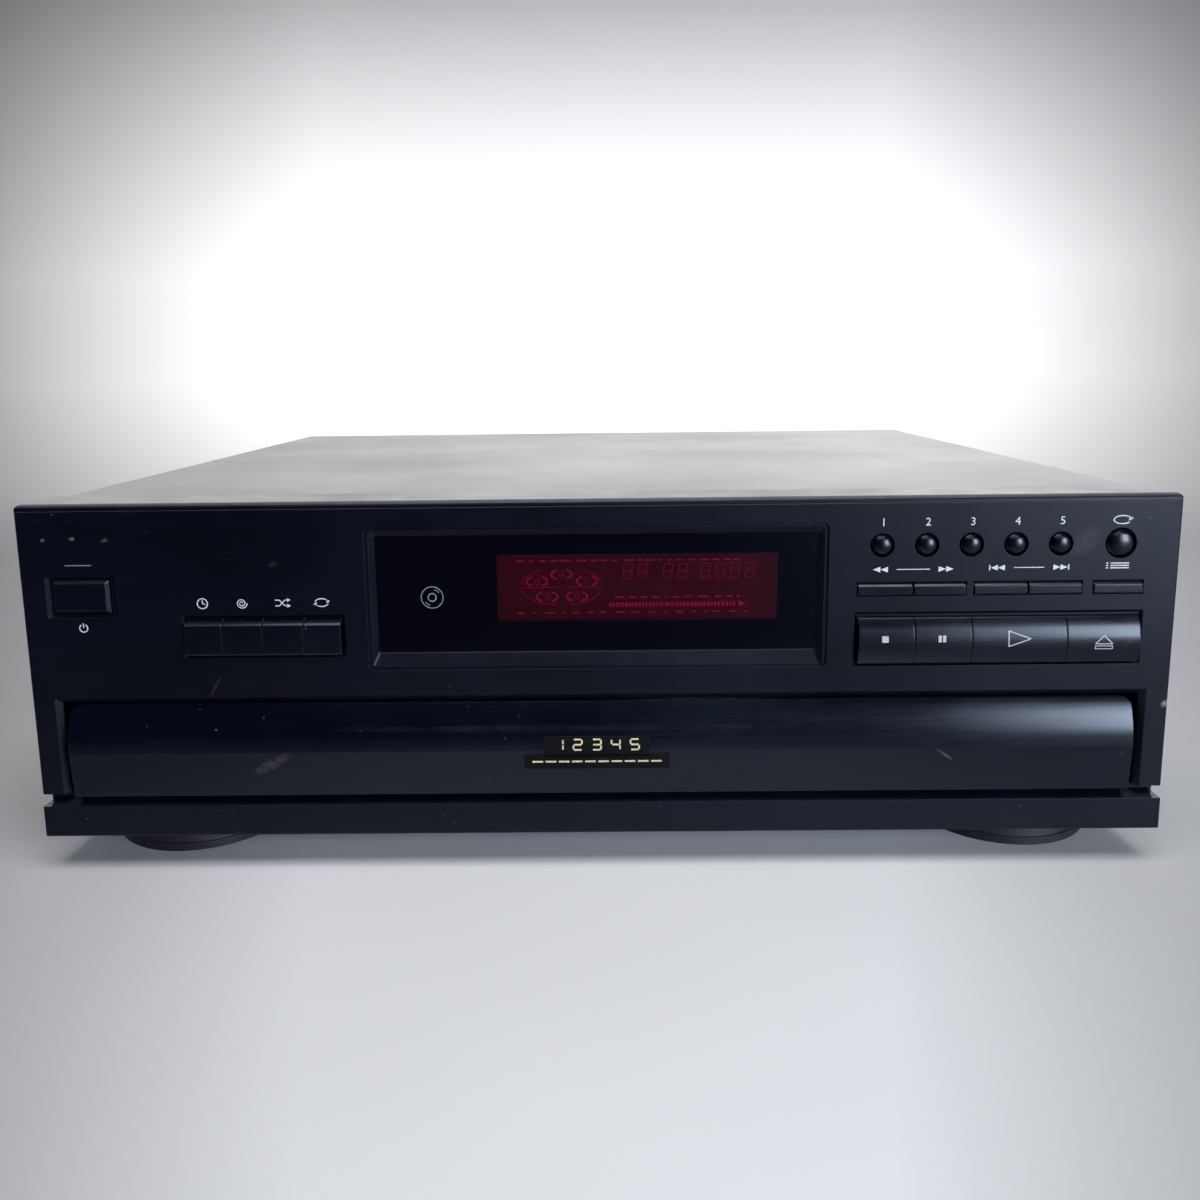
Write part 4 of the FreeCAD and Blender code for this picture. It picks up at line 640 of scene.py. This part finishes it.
def panel_numeral(name, text, x, z, size, material):
    """Plain numeral as a thin closed solid on the panel, centred at x and z."""
    curve = bpy.data.curves.new(name + "_curve", "FONT")
    curve.body = text
    curve.size = size * MM
    curve.align_x = "CENTER"
    curve.align_y = "CENTER"
    curve.extrude = PRINT_THICK * MM / 2
    curve.resolution_u = 6
    holder = bpy.data.objects.new(name + "_holder", curve)
    data = bpy.data.meshes.new_from_object(holder)
    bpy.data.objects.remove(holder)
    bpy.data.curves.remove(curve)
    middle_y = FRONT - PRINT_LIFT + PRINT_THICK / 2
    turn = Matrix.Rotation(math.radians(90), 4, "X")
    data.transform(Matrix.Translation((x * MM, middle_y * MM, z * MM)) @ turn)
    data.name = name
    add_piece(name, data, "case", material)


def arrow_row(back_key, forward_key, z, length, outward, stops=False):
    """Double arrows over a pair of keys, pointing apart, and a rule between; stops adds end bars."""
    back_x = key_middle(back_key) - outward
    forward_x = key_middle(forward_key) + outward
    shapes = []
    for x, side in ((back_x, -1), (forward_x, 1)):
        shapes.append(wedge(x - length / 2, z, length, ARROW_HEIGHT, side))
        shapes.append(wedge(x + length / 2, z, length, ARROW_HEIGHT, side))
        if stops:
            stop = x + side * 3.0
            shapes.append(bar(stop - 0.22, stop + 0.22, z - ARROW_HEIGHT / 2, z + ARROW_HEIGHT / 2))
    shapes.append(bar(back_x + 6.0, forward_x - 6.0, z - 0.15, z + 0.15))
    return shapes


def turning_arrow(x, z):
    """Flat loop that ends in an arrow head, for the disc skip key."""
    return arc(x, z, 3.2, 1.5, 20, 320, STROKE) + [wedge(x + 3.1, z + 0.5, 1.7, 1.9)]


def program_list(x):
    """Three lines of a list with a dot before each."""
    lines = [bar(x - 3.4, x + 3.4, z, z + STROKE) for z in PROGRAM_LINES_Z]
    dots = [bar(x - 5.0, x - 4.2, z, z + STROKE) for z in PROGRAM_LINES_Z]
    return lines + dots


def power_sign(x, z):
    """Open ring with a short bar in its gap."""
    upright = bar(x - STROKE / 2, x + STROKE / 2, z + 0.1, z + 1.9)
    return arc(x, z, 1.5, 1.5, 120, 420, STROKE) + [upright]


def panel_markings(white, grey):
    """Numbers over the disc keys and plain signs by the other keys."""
    for i, key in enumerate(DISC_KEYS):
        x = key_middle(key) + 0.2
        number = str(i + 1)
        panel_numeral("disc_number_" + number, number, x, DISC_NUMBER_Z, DISC_NUMBER_SIZE, white)
    power_x = key_middle("power_key")
    signs = {
        "disc_skip_mark": turning_arrow(key_middle("disc_skip_key"), DISC_SKIP_Z),
        "search_marks": arrow_row("search_back_key", "search_forward_key", SEARCH_ARROWS_Z, 2.8, 2.0),
        "skip_marks": arrow_row("skip_back_key", "skip_forward_key", SKIP_ARROWS_Z, 2.6, 1.5, stops=True),
        "program_mark": program_list(key_middle("program_key")),
        "power_mark": power_sign(power_x, POWER_SIGN_Z),
    }
    for name, shapes in signs.items():
        printed(name, shapes, "case", white, FRONT)
    rule = bar(power_x - 5.0, power_x + 5.0, *POWER_RULE_Z)
    printed("power_rule", [rule], "case", grey, FRONT)


def clock_icon(x, z):
    """Dial with two hands."""
    hands = [line(x, z, x, z + 1.3, 0.38), line(x, z, x + 1.0, z - 0.3, 0.38)]
    return ring(x, z, 1.9, ICON_STROKE) + hands


def spiral_icon(x, z):
    """Two turns of a widening spiral, in steps of 20 degrees."""
    strokes = []
    for i in range(36):
        a, b = math.radians(i * 20), math.radians((i + 1) * 20)
        ra, rb = 0.35 + i * 0.047, 0.35 + (i + 1) * 0.047
        strokes.append(line(x + ra * math.cos(a), z + ra * math.sin(a),
                            x + rb * math.cos(b), z + rb * math.sin(b), 0.36))
    return strokes


def crossing_icon(x, z):
    """Two arrows that change places."""
    strokes = []
    for side in (-1, 1):
        start, end = z - side * 1.1, z + side * 1.1
        strokes += [line(x - 2.6, start, x - 1.1, start, ICON_STROKE),
                    line(x - 1.1, start, x + 1.0, end, ICON_STROKE),
                    line(x + 1.0, end, x + 1.9, end, ICON_STROKE),
                    wedge(x + 2.5, end, 1.4, 1.5)]
    return strokes


def loop_icon(x, z):
    """Two half loops, each with its arrow head."""
    strokes = arc(x, z, 2.5, 1.5, 25, 165, ICON_STROKE) + arc(x, z, 2.5, 1.5, 205, 345, ICON_STROKE)
    return strokes + [wedge(x + 2.5, z + 0.5, 1.3, 1.5), wedge(x - 2.5, z - 0.5, 1.3, 1.5, -1)]


def mode_markings(white):
    """Icons over the four mode keys."""
    icons = (("time_mark", clock_icon), ("spiral_mark", spiral_icon),
             ("random_mark", crossing_icon), ("repeat_mark", loop_icon))
    for key, (name, icon) in zip(MODE_KEYS, icons):
        shapes = icon(key_middle(key), MODE_ICON_Z)
        printed(name, shapes, "case", white, FRONT)


def key_markings(silver):
    """Square, two bars, triangle and lifting triangle on the transport keys."""
    x = key_middle("stop_key") - 0.6
    square = [bar(x - 1.2, x + 1.2, *STOP_PAUSE_Z)]
    x = key_middle("pause_key") - 0.6
    bars = [bar(x - 1.4, x - 0.25, *STOP_PAUSE_Z), bar(x + 0.25, x + 1.4, *STOP_PAUSE_Z)]
    x = key_middle("play_key")
    triangle = outline([(x - 4.1, 87.5), (x + 4.1, 90.4), (x - 4.1, 93.3)], 0.4)
    x = key_middle("open_close_key")
    lifting = outline([(x - 3.2, 88.2), (x + 3.2, 88.2), (x, 91.3)], 0.36)
    lifting += outline(bar(x - 3.2, x + 3.2, 86.3, 87.4), 0.3)
    for word, shapes in (("stop", square), ("pause", bars), ("play", triangle), ("open_close", lifting)):
        printed(word + "_mark", shapes, word + "_key", silver, transport_face)


# ------------------------------------------------- display and window ----

def carousel_diagram(x, z):
    """Broken oval with a rule, and the five disc places as digits between round brackets."""
    shapes = []
    for start, end in ((8, 62), (118, 172), (188, 262), (278, 352)):
        shapes += arc(x, z, 15.6, 7.4, start, end, 0.22)
    shapes += [bar(x - 14.8, x - 1.4, z - 0.5, z - 0.25), bar(x + 1.6, x + 14.8, z - 0.5, z - 0.25)]
    for dx, dz in ((0, 4.6), (-9.4, 2.0), (9.6, 2.0), (-5.6, -4.0), (5.8, -4.0)):
        for start in (118, -62):
            shapes += arc(x + dx, z + dz, 3.9, 1.9, start, start + 124, 0.75, 10)
        shapes += segment_digit("8", x + dx, z + dz, 1.5, 2.3, 0.16)
    return shapes


def digit_groups(left, z):
    """Unlit digits in groups of two, two and four."""
    shapes = []
    for i in range(8):
        x = left + i * 5.6
        if i > 1:
            x += 4.0
        if i > 3:
            x += 3.0
        shapes += segment_digit("8", x, z, 3.2, 5.6, 0.22, 0.12)
    return shapes


def display_face(painted_glow_ink):
    """The display's printed pattern, in ink with a painted glow: carousel diagram, digit groups, scales and
    an arrow row.
    """
    left, right, low, high = DISPLAY_RED
    shapes = carousel_diagram(left + 24.0, (low + high) / 2 - 0.3)
    shapes += digit_groups(left + 49.0, high - 7.4)
    randomly = random.Random(5)
    dash_rows = ((left + 7.0, high - 3.4, 1.1), (left + 44.0, low + 7.6, 1.4), (left + 7.0, low + 1.8, 2.2))
    for x, z, gap in dash_rows:
        while x < right - 12:
            length = randomly.choice((1.2, 2.4, 2.6, 3.6))
            shapes.append(bar(x, x + length, z, z + 0.62))
            x += length + gap + randomly.random() * 1.6
    x = left + 42.0
    while x < right - 16:
        length = 0.5 + randomly.random() * 0.5
        shapes.append(bar(x, x + length, low + 4.2, low + 5.9))
        x += length + 0.55
    shapes.append(wedge(right - 12.5, low + 5.05, 3.0, 2.2))
    printed("display_segments", shapes, "case", painted_glow_ink, TUBE_FACE)


def window_emblem(grey):
    """Plain disc diagram on the window: rings only."""
    x, z = EMBLEM_PLACE
    shapes = ring(x, z, 4.1, 0.35, 40) + ring(x, z, 1.5, 0.5)
    shapes += arc(x, z, 3.1, 3.1, 35, 75, 0.3, 8) + arc(x, z, 3.1, 3.1, 215, 255, 0.3, 8)
    printed("window_emblem", shapes, "case", grey, WINDOW_FACE)


# -------------------------------------------------------- drawer front ----

def drawer_face(z):
    """Y, in mm, of the drawer front's face: flat below its nose, curved above."""
    rise = z - DRAWER_NOSE_Z
    if rise <= 0:
        return DRAWER_NOSE - rise * DRAWER_LEAN
    return DRAWER_NOSE + (rise / DRAWER_CURVE_HEIGHT) ** 2 * DRAWER_CURVE_DEPTH


def drawer_plate(black, gold):
    """Stepped plate on the drawer with the plain disc numbers, in champagne ink."""
    plates = {"drawer_plate_lower": DRAWER_PLATE_LOWER, "drawer_plate_upper": DRAWER_PLATE_UPPER}
    for name, edges in plates.items():
        printed(name, [bar(*edges)], "drawer", black, drawer_face, PLATE_LIFT, PLATE_THICK)
    middle = (DRAWER_PLATE_UPPER[0] + DRAWER_PLATE_UPPER[1]) / 2
    digits = []
    for i, digit in enumerate("12345"):
        digits += segment_digit(digit, middle + (i - 2) * 7.2, 50.9, 3.2, 4.0, 0.62)
    middle = (DRAWER_PLATE_LOWER[0] + DRAWER_PLATE_LOWER[1]) / 2
    dashes = [bar(middle - 24.5 + i * 5.0, middle - 20.5 + i * 5.0, 43.8, 44.5) for i in range(10)]
    for name, shapes in (("drawer_numbers", digits), ("drawer_rule", dashes)):
        printed(name, shapes, "drawer", gold, drawer_face, PLATE_INK_LIFT, PLATE_INK_THICK)


# ------------------------------------------- rear, sides and carousel ----

def cross(a, b, reach=1.7, width=0.75):
    """Cross recess of a screw, as two crossing bars."""
    half = width / 2
    return [bar(a - reach, a + reach, b - half, b + half), bar(a - half, a + half, b - reach, b + reach)]


def screw_recess_shade(dark):
    """Painted shade in the cross recesses of the screws in the rear and in the cover's sides: dark thin
    solids on their heads.
    """
    def on_rear_heads(x, z, rise):
        return x, CASE_BACK + SCREW_HEAD_REAR + rise, z
    shapes = [shape for x, z in REAR_SCREWS for shape in cross(x, z)]
    thin_solids("rear_screw_recesses", shapes, "case", dark, on_rear_heads)
    shapes = [shape for y, z in SIDE_SCREWS for shape in cross(y, z)]
    for side, name in ((-1, "left_screw_recesses"), (1, "right_screw_recesses")):
        def on_side_heads(y, z, rise):
            return side * (CASE_SIDE + SCREW_HEAD_SIDE + rise), y, z
        thin_solids(name, shapes, "case", dark, on_side_heads)


def rear_markings(white, pale, red):
    """Collars of the two output jacks, a printed frame round them and plain arrows."""
    def on_rear(x, z, rise):
        return x, CASE_BACK + rise, z
    (left, z), (right, z) = JACKS
    for name, x, colour in (("jack_collar_left", left, pale), ("jack_collar_right", right, red)):
        collar = ring(x, z, 5.3, 1.9)
        thin_solids(name, collar, "case", colour, on_rear, COLLAR_LIFT, COLLAR_THICK)
    shapes = outline(bar(left - 11, right + 11, z - 12, z + 16), 0.4)
    for x in (left, right):
        shapes.append(bar(x - 0.25, x + 0.25, z + 8.5, z + 11.5))
        shapes.append([(x - 1.1, z + 11.5), (x + 1.1, z + 11.5), (x, z + 13.4)])
    thin_solids("jack_frame", shapes, "case", white, on_rear)


def carousel_numbers(white):
    """Plain disc numbers on the raised middle of the carousel, each facing its own disc."""
    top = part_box("carousel")[1][2] / MM - CAROUSEL_HUB_RISE
    for i, digit in enumerate("12345"):
        angle = math.radians(DISC_ONE_ANGLE + 72 * i)
        out_x, out_y = math.cos(angle), math.sin(angle)

        def on_middle(a, b, rise):
            reach = CAROUSEL_NUMBER_RADIUS - b
            return reach * out_x - a * out_y, reach * out_y + a * out_x, top + rise
        shapes = segment_digit(digit, 0, 0, 3.6, 5.4, 0.8)
        thin_solids("carousel_number_" + digit, shapes, "carousel", white, on_middle)


# ------------------------------------------------------------- the stage ----

def area_light(name, place, target, width, height, power, colour=(1, 1, 1)):
    """Soft rectangular lamp that faces its target."""
    data = bpy.data.lights.new(name, "AREA")
    data.shape = "RECTANGLE"
    data.size = width
    data.size_y = height
    data.energy = power
    data.color = colour
    lamp = bpy.data.objects.new(name, data)
    lamp.location = place
    lamp.rotation_euler = (Vector(target) - Vector(place)).to_track_quat("-Z", "Y").to_euler()
    bpy.context.scene.collection.objects.link(lamp)


def sweep_profile():
    """Y and Z of the sweep from the floor up into the back wall, in steps round a large curve."""
    turn_y = SWEEP_BACK - SWEEP_ROUND
    points = [(SWEEP_FRONT, 0.0), (turn_y, 0.0)]
    for i in range(1, SWEEP_STEPS + 1):
        angle = math.radians(90.0 / SWEEP_STEPS * i)
        points.append((turn_y + SWEEP_ROUND * math.sin(angle), SWEEP_ROUND * (1 - math.cos(angle))))
    points.append((SWEEP_BACK, SWEEP_TOP))
    return points


def sweep_object():
    """The sweep's surface, as one smooth strip."""
    profile = sweep_profile()
    verts = [(x, y, z) for y, z in profile for x in (-SWEEP_HALF, SWEEP_HALF)]
    faces = [(2 * i, 2 * i + 1, 2 * i + 3, 2 * i + 2) for i in range(len(profile) - 1)]
    data = bpy.data.meshes.new("sweep")
    data.from_pydata(verts, [], faces)
    data.polygons.foreach_set("use_smooth", [True] * len(faces))
    plane = bpy.data.objects.new("sweep", data)
    bpy.context.scene.collection.objects.link(plane)
    return plane


def sweep_painted_shade(g, across, along, up):
    """Painted shade: 1 where the sweep is palest; less towards both sides of the view and up the wall."""
    fan = g.math("DIVIDE", g.math("ABSOLUTE", across), g.math("ADD", along, FAN_DEPTH))
    shade = g.product(g.ramp(fan, 0.26, 0.60, 0.0, 0.75), g.ramp(along, -0.50, -0.37))
    light = g.product(g.math("SUBTRACT", 1.0, shade), g.ramp(up, 0.4, 1.15, 1.0, 0.25))
    return g.math("MAXIMUM", light, g.ramp(g.math("ABSOLUTE", across), 1.5, 5.0, 0.0, 0.8))


def sweep_paint():
    """Plain pale paint, a little greyer towards the sides as a painted shade, and painted paler behind the
    object; its wall and far floor glow, so that they look evenly lit.

    In reflections the floor in front is painted dark and the wall painted brighter: painted reflections.
    """
    g = Graph("sweep")
    path = g.node("ShaderNodeLightPath")
    across, along, up = (g.axis(name) for name in "XYZ")
    light = sweep_painted_shade(g, across, along, up)
    base = g.mix(g.ramp(g.noise(2.5, 3.0, 0.5), 0.3, 0.7), FLOOR_PALE, FLOOR_PALER)
    # Painted light: the floor behind the object is painted paler.
    base = g.mix(g.ramp(along, 0.1, 0.5), base, FLOOR_BEHIND_PAINTED_LIGHT)
    # Painted shade: grey towards the sides of the view and up the wall.
    base = g.mix(light, FLOOR_PAINTED_SHADE, base)
    # Painted reflection: glossy rays see the floor in front painted dark, less so to the right.
    front = g.product(g.ramp(along, -0.50, -0.22, 1.0, 0.0), g.ramp(across, 0.1, 0.7, 1.0, 0.6))
    base = g.mix(g.product(path.outputs["Is Glossy Ray"], front), base, FLOOR_PAINTED_REFLECTION)
    g.shade("Base Color", base)
    g.shade("Roughness", 0.7)
    g.bump(g.noise(60.0, 3.0, 0.6), 0.0004, 0.3)
    wall = g.ramp(along, 0.5, 1.6)
    distance = g.math("SQRT", g.math("ADD", g.math("POWER", across, 2.0), g.math("POWER", along, 2.0)))
    far = g.product(g.ramp(distance, 1.0, 3.0, 0.0, ROOM_SEEN[0]), g.math("SUBTRACT", 1.0, wall))
    seen = g.math("MAXIMUM", g.product(wall, g.product(light, WALL_GLOW)), far)
    # Painted reflection: the wall glows for glossy rays, brighter to the right.
    painted_reflection = g.product(wall, g.ramp(across, -0.9, 0.9, *WALL_PAINTED_REFLECTION))
    glow = g.math("ADD", g.product(path.outputs["Is Camera Ray"], seen),
                  g.product(path.outputs["Is Glossy Ray"], painted_reflection))
    g.shade("Emission Strength", glow)
    g.shade("Emission Color", (1, 1, 1, 1))
    return g.material


def sweep():
    """Pale floor that runs up into the back wall."""
    plane = sweep_object()
    plane.data.materials.append(sweep_paint())


def world_mix(tree, factor, a, b):
    """Colour between a and b in the world's node tree; a may be another node's output."""
    made = tree.nodes.new("ShaderNodeMix")
    made.data_type = "RGBA"
    colour_a, colour_b, result = made.inputs[6], made.inputs[7], made.outputs[2]
    tree.links.new(factor, made.inputs["Factor"])
    if isinstance(a, bpy.types.NodeSocket):
        tree.links.new(a, colour_a)
    else:
        colour_a.default_value = a
    colour_b.default_value = b
    return result


def room_light():
    """World that lights from behind and above, is dim and bluish in front, and looks pale itself."""
    world = bpy.data.worlds.new("room_light")
    bpy.context.scene.world = world
    world.use_nodes = True
    tree = world.node_tree
    split = tree.nodes.new("ShaderNodeSeparateXYZ")
    tree.links.new(tree.nodes.new("ShaderNodeTexCoord").outputs["Generated"], split.inputs[0])
    back = tree.nodes.new("ShaderNodeMapRange")
    tree.links.new(split.outputs["Y"], back.inputs["Value"])
    back.inputs["From Min"].default_value = -0.25
    back.inputs["From Max"].default_value = 0.5
    colour = world_mix(tree, back.outputs[0], ROOM_FRONT, ROOM_BACK)
    path = tree.nodes.new("ShaderNodeLightPath")
    colour = world_mix(tree, path.outputs["Is Camera Ray"], colour, ROOM_SEEN)
    tree.links.new(colour, tree.nodes["Background"].inputs["Color"])


def studio():
    """Sweep, room light, a large lamp above and a cooler one in front on the right."""
    sweep()
    room_light()
    area_light("top_light", (0.1, -0.68, 1.55), (0.05, -0.2, 0), 1.3, 0.9, TOP_LIGHT_WATTS)
    area_light("front_right_light", (1.06, -1.44, 0.40), (0.05, -0.15, 0.08), 0.6, 0.7,
               SIDE_LIGHT_WATTS, SIDE_LIGHT_COLOUR)


def camera():
    """Camera at the solved place, turned by yaw, pitch and roll."""
    yaw, pitch, roll = CAMERA_YAW, CAMERA_PITCH, CAMERA_ROLL
    forward = Vector((math.sin(yaw) * math.cos(pitch), math.cos(yaw) * math.cos(pitch), -math.sin(pitch)))
    level = Vector((math.cos(yaw), -math.sin(yaw), 0.0))
    below = forward.cross(level)
    right = math.cos(roll) * level + math.sin(roll) * below
    down = math.cos(roll) * below - math.sin(roll) * level
    turn = Matrix((right, -down, -forward)).transposed()
    data = bpy.data.cameras.new("camera")
    data.sensor_width = SENSOR
    data.sensor_fit = "HORIZONTAL"
    data.lens = SENSOR * FOCAL_PIXELS / IMAGE_PIXELS
    data.shift_y = -CENTRE_ABOVE / IMAGE_PIXELS
    data.clip_start = 0.01
    holder = bpy.data.objects.new("camera", data)
    holder.matrix_world = Matrix.Translation(CAMERA_PLACE) @ turn.to_4x4()
    bpy.context.scene.collection.objects.link(holder)
    bpy.context.scene.camera = holder


def main():
    """Dresses the frame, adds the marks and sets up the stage."""
    bpy.context.scene.view_settings.view_transform = "Standard"
    dress_frame()
    white = ink("print_white", (205, 208, 214))
    grey = ink("print_grey", (120, 124, 132))
    silver = ink("print_silver", (176, 180, 188))
    gold = ink("print_champagne", (214, 196, 158))
    plate_black = moulded("plate_black", (3, 4, 7), 0.5, grain=0.3, specular=0.12)
    # Painted shade: dark solids on the screw heads stand for the shade in their cross recesses.
    recess_painted_shade = moulded("recess_painted_shade", (9, 9, 11), 0.6, grain=0.3, dust=0.0)
    jack_white = moulded("jack_white", (214, 212, 204), 0.38, grain=0.3)
    jack_red = moulded("jack_red", (150, 16, 20), 0.38, grain=0.3)
    # Painted glow: the display's pattern emits light though it is no lamp.
    painted_glow_ink = ink("display_pattern", (150, 30, 88), 0.6)
    panel_markings(white, grey)
    mode_markings(white)
    key_markings(silver)
    display_face(painted_glow_ink)
    window_emblem(grey)
    drawer_plate(plate_black, gold)
    screw_recess_shade(recess_painted_shade)
    rear_markings(white, jack_white, jack_red)
    carousel_numbers(white)
    studio()
    camera()


main()
